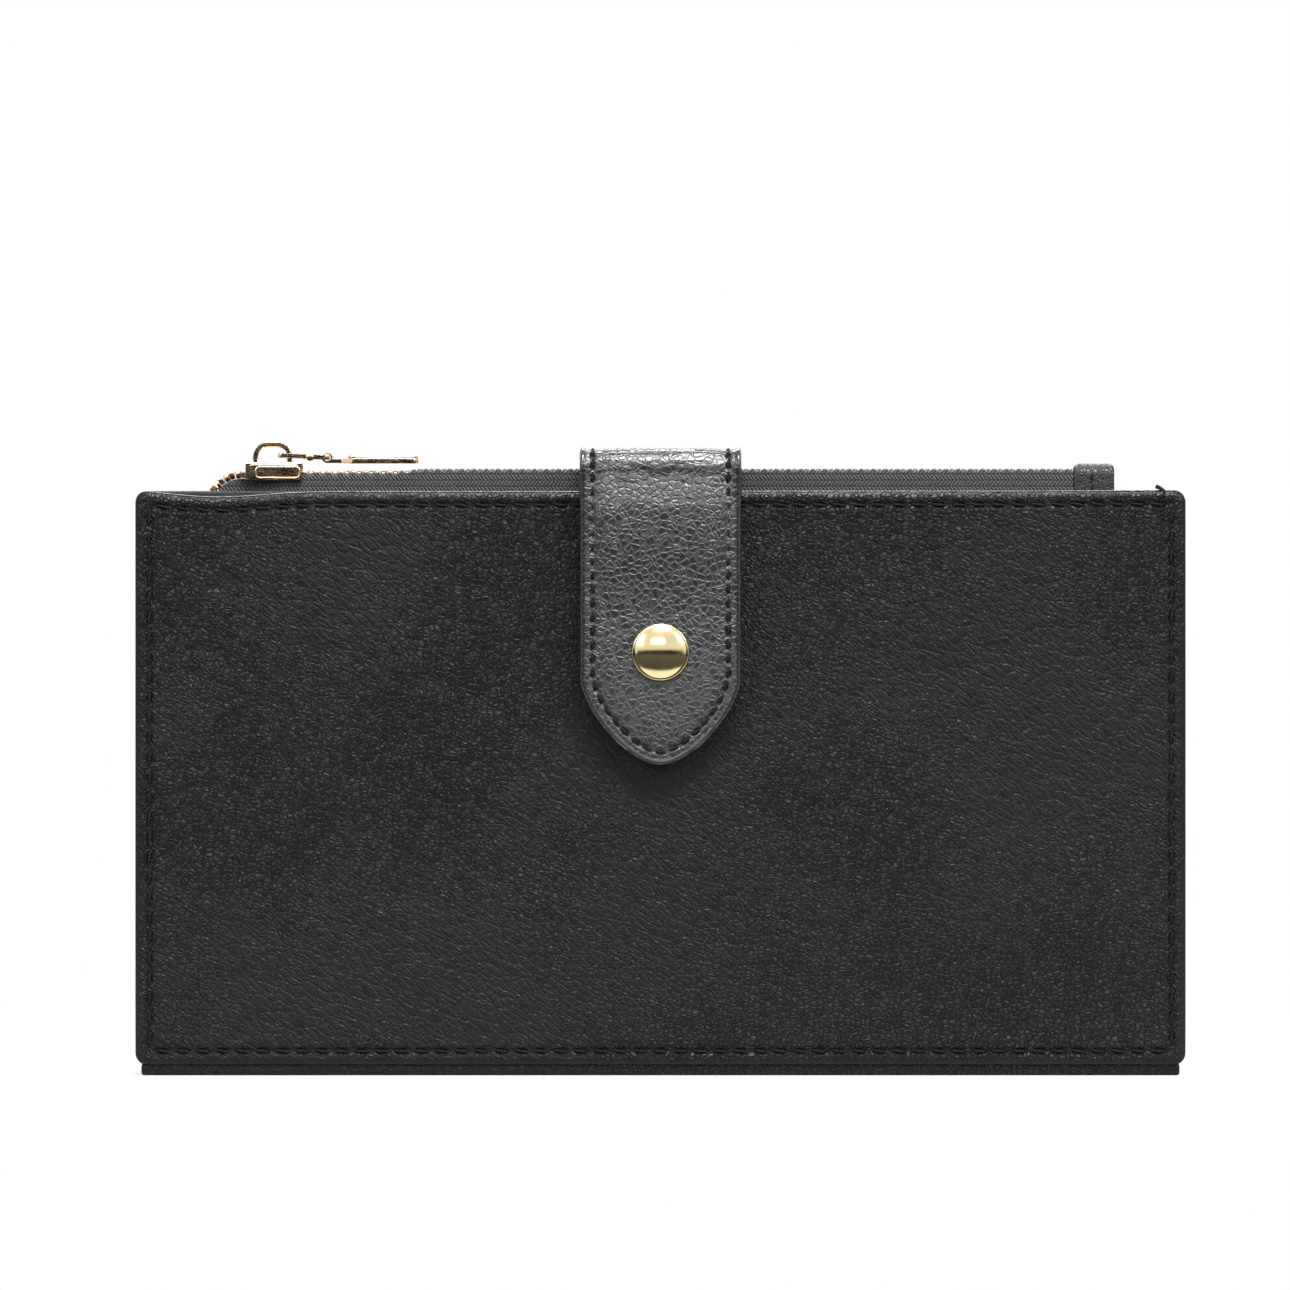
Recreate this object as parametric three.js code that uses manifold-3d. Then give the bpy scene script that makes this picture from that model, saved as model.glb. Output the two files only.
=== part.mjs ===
// Long leather wallet: two stiffened halves on a spine strip, card slots inside, a zipped coin
// pocket along the top of the rear half, and a snap strap that comes over the top from the back.
// Millimetres, +Z up. The closed wallet stands on its spine, its front faces -Y, and the origin is
// the centre of the spine's underside.

import * as THREE from "three";
import { mergeVertices } from "three/addons/utils/BufferGeometryUtils.js";
import Module from "manifold-3d";

const wasm = await Module();
wasm.setup();

// ---- Driving dimensions -------------------------------------------------------------------

// Covers
const COVER_WIDTH = 190;
const COVER_HEIGHT = 104;
const COVER_LEATHER = 1.3;
const COVER_CORNER = 2.2;
const FRONT_FACE = 10; // from the middle of the spine to the front cover's outer face
const BOARD = 0.7;
const BOARD_INSET = 3;
const LINING = 0.4;
const LAYER_GAP = 0.1;
const SEAT_GAP = 0.3;
const LINING_INSET = 1;
const CUT_PAST = 1; // how far a cutting shape runs past what it cuts
const WELD = 0.01; // how far two joined shapes run into each other

// Spine
const SPINE_LEATHER = 1;
const SPINE_LINING = 0.5;
const SPINE_END_INSET = 1.1;
const SPINE_EDGE_GAP = 0.5;
const SPINE_LINING_INSET = 1.5;

// Pockets and card slots
const PANEL = 0.6;
const SLOT_GAP = 0.3;
const PANEL_EDGE_INSET = 3;
const HALVES_GAP = 0.5; // between the two halves' card slots
const BILL_GAP = 1;
const BILL_WALL_DROP = 9;
const FRONT_SLOTS = 4;
const REAR_SLOTS = 3;
const FIRST_SLOT_DROP = 18;
const SLOT_STEP = 12;
const PANEL_CORNER = 1.5;
const RIVET_FLANGE = 0.4;

// Coin pocket
const POCKET_WALL = 0.8;
const POCKET_DEPTH = 4.6;
const POCKET_SIDE_INSET = 6.4;
const POCKET_FLOOR_RISE = 4;
const GUSSET = 0.6;
const POCKET_LINING_INSET = 2;

// Zip: a size 3 metal chain, its closed end on the left
const TAPE = 0.5;
const TAPE_REACH = 9.9; // how far the tape goes down into the pocket
const TAPE_STAND = 2.2; // and how far it stands above the covers
const TAPE_CORNER_LEAD = 1.6; // how far before the chain's bend its corner starts
const TOOTH_PITCH = 2.2;
const TOOTH_WIDTH = 0.95;
const TOOTH_HEIGHT = 1.6;
const TOOTH_OVERLAP = 0.4;
const CORD = 0.9;
const TOOTH_TAPER = 0.8; // a tooth's width at its head, as a part of its width
const CHAIN_RIGHT_INSET = 20; // from the cover's right edge, to the nearest tooth
const CHAIN_BEND_INSET = 18.8; // from the cover's left edge to where the chain turns down
const CHAIN_BEND_RADIUS = 6;
const CHAIN_TAIL = 5; // length of chain past the start of the bend
const CHAIN_CLOSE = 3; // how far round the bend the two rows are together again
const ROW_PARTING = 1.2;
const STOP = 1.4;
const BOTTOM_STOP_WIDTH = 2;

// Zip slider and pull
const SLIDER_INSET = 19.6; // from the cover's left edge
const SLIDER_LENGTH = 10.3;
const SLIDER_WEDGE = 7.6; // length over which the two rows come together
const SLIDER_PLATE = 1;
const SLIDER_WALL = 0.5;
const SLIDER_GAP = 0.2;
const SLIDER_LOWER_PLATE = 0.7;
const FLANGE_REACH = 0.3; // how far the flanges come down beside the tape
const POST_INSET = 0.2;
const POST_SINK = 0.3; // how far the post is sunk in each plate
const POST_LENGTH = 3.2;
const POST_HALF_WIDTH = 0.65;
const BRIDGE_LENGTH = 7.1;
const BRIDGE_HEIGHT = 3.8;
const BRIDGE_WIDTH = 2;
const BRIDGE_THICKNESS = 0.9;
const BRIDGE_INSET = 1.3; // from the slider's left end
const BRIDGE_ROUND = 2.6;
const BRIDGE_ROOT = 0.2; // how far its feet are sunk in the plate
const LINK_LENGTH = 8.5; // between its two pivots
const LINK_WIRE = 0.8;
const LINK_INNER_WIDTH = 2.8;
const LINK_PIVOT_INSET = 1.2; // from the bridge's right leg
const LINK_PIVOT_RISE = 1.4; // above the slider's top plate
const LINK_FALL = 0.4; // how much lower the far pivot lies
const PULL_LENGTH = 16.5;
const PULL_WIDTH = 5;
const PULL_THICKNESS = 0.8;
const PULL_NECK = 1.6;
const PULL_SHOULDER = 2;
const PULL_CORNER = 1;
const PULL_EYE_WIDTH = 2.3;
const PULL_EYE_WALL = 0.35;
const PULL_EYE_GAP = 0.25;

// Leather tab over the zip's right end
const END_TAB_LENGTH = 7.4;
const END_TAB_RISE = 5;
const END_TAB_WALL = 0.8;

// Snap strap
const STRAP_WIDTH = 29.2;
const STRAP_LEATHER = 1.2;
const STRAP_LINING = 0.8;
const STRAP_RISE = 7.4; // its top above the covers
const STRAP_BEND_RADIUS = 1.4; // inside
const STRAP_STANDOFF = 1.5; // from the front cover
const STRAP_TAIL_DROP = 34;
const STRAP_TIP_DROP = 49.7;
const STRAP_TIP_LENGTH = 13.5;
const STRAP_TIP_BLUNTNESS = 0.12; // how the tip's two curves meet at the point
const STRAP_TIP_SHOULDER = 0.46; // and how they leave the straight sides
const STRAP_LINING_SHORTER = 1;

// Snap fastener, ligne 16
const SNAP_DROP = 29.3;
const CAP_RADIUS = 5.15;
const CAP_RIM = 0.4;
const CAP_HEIGHT = 1.9;
const SOCKET_RADIUS = 4.7;
const SOCKET_HEIGHT = 1;
const STUD_RADIUS = 2;
const STUD_NECK = 0.85; // radii of its neck and crown, as parts of its radius
const STUD_CROWN = 0.8;
const STUD_BASE_RADIUS = 4.2;
const STUD_BASE = 0.25;
const SHANK_RADIUS = 1.2;

// ---- Places worked out from them ----------------------------------------------------------

const halfWidth = COVER_WIDTH / 2;
const coverBottom = SPINE_LEATHER + LAYER_GAP + SPINE_LINING + SEAT_GAP;
const coverTop = coverBottom + COVER_HEIGHT;

// Front half, from the outside in
const frontBoardY = -FRONT_FACE + COVER_LEATHER + LAYER_GAP;
const rivetY = frontBoardY + BOARD + LAYER_GAP;
const frontLiningY = rivetY + RIVET_FLANGE + LAYER_GAP;
const billWallY = frontLiningY + LINING + BILL_GAP;
const frontSlotsY = billWallY + PANEL + SLOT_GAP;
const frontInnerY = frontSlotsY + FRONT_SLOTS * (PANEL + SLOT_GAP) - SLOT_GAP;

// Rear half, from the inside out
const pocketWallY = frontInnerY + HALVES_GAP + REAR_SLOTS * (PANEL + SLOT_GAP);
const rearSlotsY = pocketWallY - SLOT_GAP;
const frontPocketLiningY = pocketWallY + POCKET_WALL + LAYER_GAP;
const pocketFrontY = frontPocketLiningY + LINING;
const pocketRearY = pocketFrontY + POCKET_DEPTH;
const backBoardY = pocketRearY + LINING + LAYER_GAP;
const backLeatherY = backBoardY + BOARD + LAYER_GAP;
const backFace = backLeatherY + COVER_LEATHER;

// Zip
const chainY = (pocketFrontY + pocketRearY) / 2;
const chainBendX = CHAIN_BEND_INSET - halfWidth;
const chainLeft = chainBendX - CHAIN_TAIL;
const chainTeeth = Math.round((halfWidth - CHAIN_RIGHT_INSET - chainLeft) / TOOTH_PITCH);
const chainRight = chainLeft + chainTeeth * TOOTH_PITCH;
const frontTapeY = pocketFrontY + LAYER_GAP;
const rearTapeY = pocketRearY - LAYER_GAP - TAPE;
const chainHalf = chainY - frontTapeY;
const tapeBottom = coverTop - TAPE_REACH;
const tapeTop = coverTop + TAPE_STAND;
const teethBottom = tapeTop + LAYER_GAP;
const teethTop = teethBottom + TOOTH_HEIGHT;
const bendZ = (teethBottom + teethTop) / 2 - CHAIN_BEND_RADIUS;

// Slider and pull
const sliderLeft = SLIDER_INSET - halfWidth;
const sliderRight = sliderLeft + SLIDER_LENGTH;
const plateBottom = teethTop + SLIDER_GAP;
const plateTop = plateBottom + SLIDER_PLATE;
const bridgeLeft = sliderLeft + BRIDGE_INSET;
const bridgeRight = bridgeLeft + BRIDGE_LENGTH;
const linkPivotX = bridgeRight - BRIDGE_THICKNESS - LINK_PIVOT_INSET;
const linkPivotZ = plateTop + LINK_PIVOT_RISE;
const pullPivotX = linkPivotX + LINK_LENGTH;
const pullPivotZ = linkPivotZ - LINK_FALL;

// Strap
const strapThickness = STRAP_LEATHER + LAYER_GAP + STRAP_LINING;
const strapSplitRadius = STRAP_BEND_RADIUS + STRAP_LINING;
const strapLeatherRadius = strapSplitRadius + LAYER_GAP;
const strapOuterRadius = STRAP_BEND_RADIUS + strapThickness;
const strapBendZ = coverTop + STRAP_RISE - strapOuterRadius;
const strapRearBendY = backFace + LAYER_GAP - STRAP_BEND_RADIUS;
const strapFrontBendY = -FRONT_FACE - STRAP_STANDOFF + STRAP_BEND_RADIUS;
const snapZ = coverTop - SNAP_DROP;
const shankHole = SHANK_RADIUS + SEAT_GAP;

// ---- Materials ----------------------------------------------------------------------------

const finish = (color, roughness, metalness) =>
  new THREE.MeshStandardMaterial({ color, roughness, metalness });
const grainLeather = finish("#26282b", 0.55, 0);
const slotLeather = finish("#222426", 0.6, 0);
const liningCloth = finish("#2b2b2e", 0.9, 0);
const boardFibre = finish("#6e6a62", 0.95, 0);
const zipTape = finish("#1f2022", 0.9, 0);
const goldMetal = finish("#d9be86", 0.25, 1);

// ---- Shape helpers ------------------------------------------------------------------------

function toSolid(geometry) {
  const bare = geometry.index ? geometry.toNonIndexed() : geometry.clone();
  bare.deleteAttribute("normal");
  bare.deleteAttribute("uv");
  const merged = mergeVertices(bare, 1e-4);
  return new wasm.Manifold(
    new wasm.Mesh({
      numProp: 3,
      vertProperties: merged.attributes.position.array,
      triVerts: new Uint32Array(merged.index.array),
    }),
  );
}

function toGeometry(solid) {
  const mesh = solid.getMesh();
  const geometry = new THREE.BufferGeometry();
  const position = new THREE.BufferAttribute(mesh.vertProperties, 3);
  geometry.setAttribute("position", position);
  geometry.setIndex(new THREE.BufferAttribute(mesh.triVerts, 1));
  const faceted = geometry.toNonIndexed();
  faceted.computeVertexNormals();
  return faceted;
}

const extrude = (shape, depth, curveSegments = 4) =>
  new THREE.ExtrudeGeometry(shape, { depth, bevelEnabled: false, curveSegments });

// An outline drawn in X and Z, from y to y + thickness.
const extrudeAlongY = (shape, y, thickness, curveSegments) =>
  extrude(shape, thickness, curveSegments)
    .rotateX(Math.PI / 2)
    .translate(0, y + thickness, 0);

// An outline drawn in Y and Z, from x to x + length.
const extrudeAlongX = (shape, x, length, curveSegments) =>
  extrude(shape, length, curveSegments)
    .rotateX(Math.PI / 2)
    .rotateZ(Math.PI / 2)
    .translate(x, 0, 0);

function roundedRectangle(left, right, bottom, top, radius) {
  const shape = new THREE.Shape();
  shape.moveTo(left + radius, bottom);
  shape.lineTo(right - radius, bottom);
  shape.absarc(right - radius, bottom + radius, radius, -Math.PI / 2, 0);
  shape.lineTo(right, top - radius);
  shape.absarc(right - radius, top - radius, radius, 0, Math.PI / 2);
  shape.lineTo(left + radius, top);
  shape.absarc(left + radius, top - radius, radius, Math.PI / 2, Math.PI);
  shape.lineTo(left, bottom + radius);
  shape.absarc(left + radius, bottom + radius, radius, Math.PI, 1.5 * Math.PI);
  return shape;
}

// A flat sheet facing Y, the same distance in from both ends of the cover.
function sheet(inset, bottom, top, y, thickness, radius) {
  const reach = halfWidth - inset;
  return extrudeAlongY(roundedRectangle(-reach, reach, bottom, top, radius), y, thickness);
}

function block(x0, x1, y0, y1, z0, z1) {
  const box = new THREE.BoxGeometry(x1 - x0, y1 - y0, z1 - z0);
  return box.translate((x0 + x1) / 2, (y0 + y1) / 2, (z0 + z1) / 2);
}

// A turned piece whose axis is along Y at x = 0 and height z; its profile is [radius, y] pairs.
function turned(profile, z, segments = 24) {
  const points = profile.map(([radius, y]) => new THREE.Vector2(radius, y));
  return new THREE.LatheGeometry(points, segments).translate(0, 0, z);
}

function shankBore(y0, y1) {
  const bore = new THREE.CylinderGeometry(shankHole, shankHole, y1 - y0, 16);
  return toSolid(bore.translate(0, (y0 + y1) / 2, snapZ));
}

function mesh(name, geometry, material) {
  const piece = new THREE.Mesh(geometry, material);
  piece.name = name;
  return piece;
}

// ---- Spine --------------------------------------------------------------------------------

function spineStrip(inset, edgeGap, z, thickness) {
  const reach = halfWidth - inset;
  return block(-reach, reach, -FRONT_FACE + edgeGap, backFace - edgeGap, z, z + thickness);
}

function buildSpine() {
  const liningGap = SPINE_EDGE_GAP + SPINE_LINING_INSET;
  const liningEnd = SPINE_END_INSET + SPINE_LINING_INSET;
  const leather = spineStrip(SPINE_END_INSET, SPINE_EDGE_GAP, 0, SPINE_LEATHER);
  const lining = spineStrip(liningEnd, liningGap, SPINE_LEATHER + LAYER_GAP, SPINE_LINING);
  return [
    mesh("spine_leather", leather, grainLeather),
    mesh("spine_lining", lining, liningCloth),
  ];
}

// ---- Front half ---------------------------------------------------------------------------

const panelBottom = coverBottom + PANEL_EDGE_INSET;

function pierced(geometry) {
  return toGeometry(toSolid(geometry).subtract(shankBore(-FRONT_FACE - CUT_PAST, 0)));
}

function frontShell() {
  const boardBottom = coverBottom + BOARD_INSET;
  const boardTop = coverTop - BOARD_INSET;
  const leather = sheet(0, coverBottom, coverTop, -FRONT_FACE, COVER_LEATHER, COVER_CORNER);
  const board = sheet(BOARD_INSET, boardBottom, boardTop, frontBoardY, BOARD, PANEL_CORNER);
  const liningBottom = coverBottom + LINING_INSET;
  const liningTop = coverTop - LINING_INSET;
  const lining = sheet(LINING_INSET, liningBottom, liningTop, frontLiningY, LINING, PANEL_CORNER);
  return [
    mesh("front_cover_leather", pierced(leather), grainLeather),
    mesh("front_cover_board", pierced(board), boardFibre),
    mesh("front_cover_lining", lining, liningCloth),
  ];
}

function frontPockets() {
  const wallTop = coverTop - BILL_WALL_DROP;
  const wall = sheet(PANEL_EDGE_INSET, panelBottom, wallTop, billWallY, PANEL, PANEL_CORNER);
  const pieces = [mesh("bill_pocket_wall", wall, slotLeather)];
  for (let slot = 0; slot < FRONT_SLOTS; slot++) {
    const top = coverTop - FIRST_SLOT_DROP - slot * SLOT_STEP;
    const y = frontSlotsY + slot * (PANEL + SLOT_GAP);
    const panel = sheet(PANEL_EDGE_INSET, panelBottom, top, y, PANEL, PANEL_CORNER);
    pieces.push(mesh(`front_card_slot_${slot + 1}`, panel, slotLeather));
  }
  return pieces;
}

function snapStud() {
  const base = -FRONT_FACE - LAYER_GAP / 2;
  const shoulder = base - STUD_BASE;
  const crown = -FRONT_FACE - STRAP_STANDOFF + SEAT_GAP;
  const stud = [
    [0, crown],
    [STUD_RADIUS * STUD_CROWN, crown],
    [STUD_RADIUS, (shoulder + crown) / 2],
    [STUD_RADIUS * STUD_NECK, shoulder],
    [STUD_BASE_RADIUS, shoulder],
    [STUD_BASE_RADIUS, base],
    [SHANK_RADIUS, base],
    [SHANK_RADIUS, rivetY - LAYER_GAP],
    [0, rivetY - LAYER_GAP],
  ];
  const rivet = [
    [0, rivetY],
    [STUD_BASE_RADIUS, rivetY],
    [STUD_BASE_RADIUS, rivetY + RIVET_FLANGE],
    [0, rivetY + RIVET_FLANGE],
  ];
  return [
    mesh("snap_stud", turned(stud, snapZ), goldMetal),
    mesh("snap_stud_rivet", turned(rivet, snapZ), goldMetal),
  ];
}

// ---- Rear half ----------------------------------------------------------------------------

function rearShell() {
  const boardBottom = coverBottom + BOARD_INSET;
  const boardTop = coverTop - BOARD_INSET;
  const leather = sheet(0, coverBottom, coverTop, backLeatherY, COVER_LEATHER, COVER_CORNER);
  const board = sheet(BOARD_INSET, boardBottom, boardTop, backBoardY, BOARD, PANEL_CORNER);
  return [
    mesh("back_cover_leather", leather, grainLeather),
    mesh("back_cover_board", board, boardFibre),
  ];
}

function rearSlots() {
  const pieces = [];
  for (let slot = 0; slot < REAR_SLOTS; slot++) {
    const top = coverTop - FIRST_SLOT_DROP - slot * SLOT_STEP;
    const y = rearSlotsY - PANEL - slot * (PANEL + SLOT_GAP);
    const panel = sheet(PANEL_EDGE_INSET, panelBottom, top, y, PANEL, PANEL_CORNER);
    pieces.push(mesh(`rear_card_slot_${slot + 1}`, panel, slotLeather));
  }
  return pieces;
}

function coinPocket() {
  const reach = halfWidth - POCKET_SIDE_INSET;
  const floor = coverBottom + POCKET_FLOOR_RISE;
  const front = pocketFrontY + LAYER_GAP;
  const rear = pocketRearY - LAYER_GAP;
  const wallBottom = coverBottom + LINING_INSET;
  const bottom = coverBottom + POCKET_LINING_INSET;
  const top = coverTop - LINING_INSET;
  const inset = POCKET_LINING_INSET;
  const gussetTop = tapeBottom - LAYER_GAP;
  const gussetInner = reach - GUSSET;
  const wall = sheet(LINING_INSET, wallBottom, coverTop, pocketWallY, POCKET_WALL, PANEL_CORNER);
  const liningFront = sheet(inset, bottom, top, frontPocketLiningY, LINING, PANEL_CORNER);
  const liningRear = sheet(inset, bottom, top, pocketRearY, LINING, PANEL_CORNER);
  const base = block(-reach, reach, front, rear, floor - GUSSET, floor);
  const left = block(-reach, -gussetInner, front, rear, floor + LAYER_GAP, gussetTop);
  const right = block(gussetInner, reach, front, rear, floor + LAYER_GAP, gussetTop);
  return [
    mesh("coin_pocket_wall", wall, slotLeather),
    mesh("coin_lining_front", liningFront, liningCloth),
    mesh("coin_lining_rear", liningRear, liningCloth),
    mesh("coin_pocket_base", base, liningCloth),
    mesh("coin_gusset_left", left, liningCloth),
    mesh("coin_gusset_right", right, liningCloth),
  ];
}

// ---- Zip ----------------------------------------------------------------------------------

// How far a row stands out from its meshed place: most at the slider's mouth, and nothing again
// where both rows turn down into the pocket.
function parting(x) {
  const inSlider = (sliderLeft + SLIDER_WEDGE - x) / SLIDER_WEDGE;
  const beyond = (x - chainBendX + CHAIN_CLOSE) / (sliderLeft - chainBendX + CHAIN_CLOSE);
  return ROW_PARTING * THREE.MathUtils.clamp(Math.min(inSlider, beyond), 0, 1);
}

// Past the slider the chain turns down over a quarter bend into the pocket's corner.
function bendChainEnd(geometry) {
  const position = geometry.attributes.position;
  const middle = bendZ + CHAIN_BEND_RADIUS;
  for (let i = 0; i < position.count; i++) {
    const past = chainBendX - position.getX(i);
    if (past <= 0) continue;
    const angle = past / CHAIN_BEND_RADIUS;
    const radius = CHAIN_BEND_RADIUS + position.getZ(i) - middle;
    position.setX(i, chainBendX - radius * Math.sin(angle));
    position.setZ(i, bendZ + radius * Math.cos(angle));
  }
  return geometry;
}

// The rear row's teeth stand half a pitch on, between the front row's.
const rowStagger = (side) => (side > 0 ? TOOTH_PITCH / 2 : 0);
const rowEnd = (side) => chainLeft - rowStagger(side);

// One row: a bead cord with its teeth, as one comb. side is -1 for the front row, 1 for the rear.
function toothRow(side) {
  const outer = (x) => chainY + side * (chainHalf + parting(x));
  const root = (x) => chainY + side * (chainHalf - CORD + parting(x));
  const head = (x) => chainY + side * (parting(x) - TOOTH_OVERLAP);
  const stagger = rowStagger(side);
  const half = TOOTH_WIDTH / 2;
  const headHalf = half * TOOTH_TAPER;
  const edge = [];
  const comb = [];
  for (let i = 0; i < chainTeeth; i++) {
    const x = chainRight - TOOTH_PITCH / 2 - stagger - i * TOOTH_PITCH;
    edge.push([x, outer(x)]);
    comb.push([x + half, root(x)], [x + headHalf, head(x)]);
    comb.push([x - headHalf, head(x)], [x - half, root(x)]);
  }
  const leftEnd = rowEnd(side);
  const outline = [
    [chainRight, root(chainRight)],
    ...comb,
    [leftEnd, root(leftEnd)],
    [leftEnd, outer(leftEnd)],
    ...edge.reverse(),
    [chainRight, outer(chainRight)],
  ];
  const shape = new THREE.Shape(outline.map(([x, y]) => new THREE.Vector2(x, y)));
  const row = extrude(shape, TOOTH_HEIGHT).translate(0, 0, teethBottom);
  return toGeometry(toSolid(bendChainEnd(row)));
}

// The tape's corner turns down a little before the chain does, so it stays clear of the teeth.
function tape(y) {
  const radius = tapeTop - bendZ;
  const cornerX = chainBendX + TAPE_CORNER_LEAD;
  const shape = new THREE.Shape();
  shape.moveTo(cornerX - radius, tapeBottom);
  shape.lineTo(chainRight, tapeBottom);
  shape.lineTo(chainRight, tapeTop);
  shape.lineTo(cornerX, tapeTop);
  shape.absarc(cornerX, bendZ, radius, Math.PI / 2, Math.PI);
  return extrudeAlongY(shape, y, TAPE, 6);
}

// A small block just past the last tooth of its row, square to the bend.
function topStop(side) {
  const past = chainBendX - rowEnd(side) + STOP / 2 + LAYER_GAP;
  const angle = past / CHAIN_BEND_RADIUS;
  return new THREE.BoxGeometry(STOP, STOP, STOP)
    .translate(0, side * (chainHalf - STOP / 2), CHAIN_BEND_RADIUS)
    .rotateY(-angle)
    .translate(chainBendX, chainY, bendZ);
}

function bottomStop() {
  const left = chainRight + SEAT_GAP;
  const half = BOTTOM_STOP_WIDTH / 2;
  return block(left, left + STOP, chainY - half, chainY + half, teethBottom, teethTop);
}

function endTab() {
  const outer = chainHalf;
  const inner = chainHalf - END_TAB_WALL;
  const top = coverTop + END_TAB_RISE;
  const shape = new THREE.Shape();
  shape.moveTo(chainY - outer, tapeBottom);
  shape.lineTo(chainY - inner, tapeBottom);
  shape.lineTo(chainY - inner, top - END_TAB_WALL);
  shape.lineTo(chainY + inner, top - END_TAB_WALL);
  shape.lineTo(chainY + inner, tapeBottom);
  shape.lineTo(chainY + outer, tapeBottom);
  shape.lineTo(chainY + outer, top - END_TAB_WALL);
  shape.absarc(chainY + outer - END_TAB_WALL, top - END_TAB_WALL, END_TAB_WALL, 0, Math.PI / 2);
  shape.lineTo(chainY - outer + END_TAB_WALL, top);
  shape.absarc(chainY - inner, top - END_TAB_WALL, END_TAB_WALL, Math.PI / 2, Math.PI);
  return extrudeAlongX(shape, chainRight + LAYER_GAP, END_TAB_LENGTH);
}

function buildZip() {
  return [
    mesh("zip_tape_front", tape(frontTapeY), zipTape),
    mesh("zip_tape_rear", tape(rearTapeY), zipTape),
    mesh("zip_teeth_front", toothRow(-1), goldMetal),
    mesh("zip_teeth_rear", toothRow(1), goldMetal),
    mesh("zip_top_stop_front", topStop(-1), goldMetal),
    mesh("zip_top_stop_rear", topStop(1), goldMetal),
    mesh("zip_bottom_stop", bottomStop(), goldMetal),
    mesh("zip_end_tab", endTab(), grainLeather),
  ];
}

// ---- Slider and pull ----------------------------------------------------------------------

// Half the slider's channel: wide at the mouth, where the rows are apart.
function sliderOutline(left, right, extra) {
  const narrow = chainHalf + SLIDER_GAP + extra;
  const wide = narrow + ROW_PARTING;
  const shape = new THREE.Shape();
  shape.moveTo(left, -wide);
  shape.lineTo(sliderLeft + SLIDER_WEDGE, -narrow);
  shape.lineTo(right, -narrow);
  shape.lineTo(right, narrow);
  shape.lineTo(sliderLeft + SLIDER_WEDGE, narrow);
  shape.lineTo(left, wide);
  return shape;
}

function bridge() {
  const foot = plateTop - BRIDGE_ROOT;
  const top = plateTop + BRIDGE_HEIGHT;
  const round = BRIDGE_ROUND;
  const shape = new THREE.Shape();
  shape.moveTo(bridgeLeft, foot);
  shape.lineTo(bridgeLeft + BRIDGE_THICKNESS, foot);
  shape.lineTo(bridgeLeft + BRIDGE_THICKNESS, top - round);
  const innerRound = round - BRIDGE_THICKNESS;
  shape.absarc(bridgeLeft + round, top - round, innerRound, Math.PI, Math.PI / 2, true);
  shape.absarc(bridgeRight - round, top - round, innerRound, Math.PI / 2, 0, true);
  shape.lineTo(bridgeRight - BRIDGE_THICKNESS, foot);
  shape.lineTo(bridgeRight, foot);
  shape.lineTo(bridgeRight, top - round);
  shape.absarc(bridgeRight - round, top - round, round, 0, Math.PI / 2);
  shape.absarc(bridgeLeft + round, top - round, round, Math.PI / 2, Math.PI);
  return extrudeAlongY(shape, chainY - BRIDGE_WIDTH / 2, BRIDGE_WIDTH, 4);
}

function sliderBody() {
  const flangeBottom = tapeTop - FLANGE_REACH;
  const lowerTop = teethBottom - SEAT_GAP;
  const lowerBottom = lowerTop - SLIDER_LOWER_PLATE;
  const lowerHalf = chainHalf - TAPE - SEAT_GAP;
  const shell = sliderOutline(sliderLeft, sliderRight, SLIDER_WALL);
  const shellHeight = plateTop - flangeBottom;
  const channel = sliderOutline(sliderLeft - CUT_PAST, sliderRight + CUT_PAST, 0);
  const channelHeight = plateBottom - flangeBottom + CUT_PAST;
  const postLeft = sliderLeft + POST_INSET;
  const post = new THREE.Shape();
  post.moveTo(postLeft, -POST_HALF_WIDTH);
  post.lineTo(postLeft + POST_LENGTH, 0);
  post.lineTo(postLeft, POST_HALF_WIDTH);
  const lowerFront = chainY - lowerHalf;
  const lowerRear = chainY + lowerHalf;
  const lower = block(sliderLeft, sliderRight, lowerFront, lowerRear, lowerBottom, lowerTop);
  const postBottom = lowerBottom + POST_SINK;
  const postHeight = plateTop - POST_SINK - postBottom;
  const solid = toSolid(extrude(shell, shellHeight).translate(0, chainY, flangeBottom))
    .subtract(toSolid(extrude(channel, channelHeight).translate(0, chainY, flangeBottom - CUT_PAST)))
    .add(toSolid(lower))
    .add(toSolid(extrude(post, postHeight).translate(0, chainY, postBottom)))
    .add(toSolid(bridge()));
  return toGeometry(solid);
}

// A flat wire ring round the two pivots.
function pullLink() {
  const half = LINK_INNER_WIDTH / 2;
  const wire = LINK_WIRE / 2;
  const ring = roundedRectangle(
    -wire, LINK_LENGTH + wire, -half - LINK_WIRE, half + LINK_WIRE, LINK_WIRE);
  const hole = roundedRectangle(wire, LINK_LENGTH - wire, -half, half, LINK_WIRE / 2);
  ring.holes.push(hole);
  const tilt = Math.asin(LINK_FALL / LINK_LENGTH);
  return extrude(ring, LINK_WIRE, 3)
    .translate(0, 0, -wire)
    .rotateY(tilt)
    .translate(linkPivotX, chainY, linkPivotZ);
}

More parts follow.
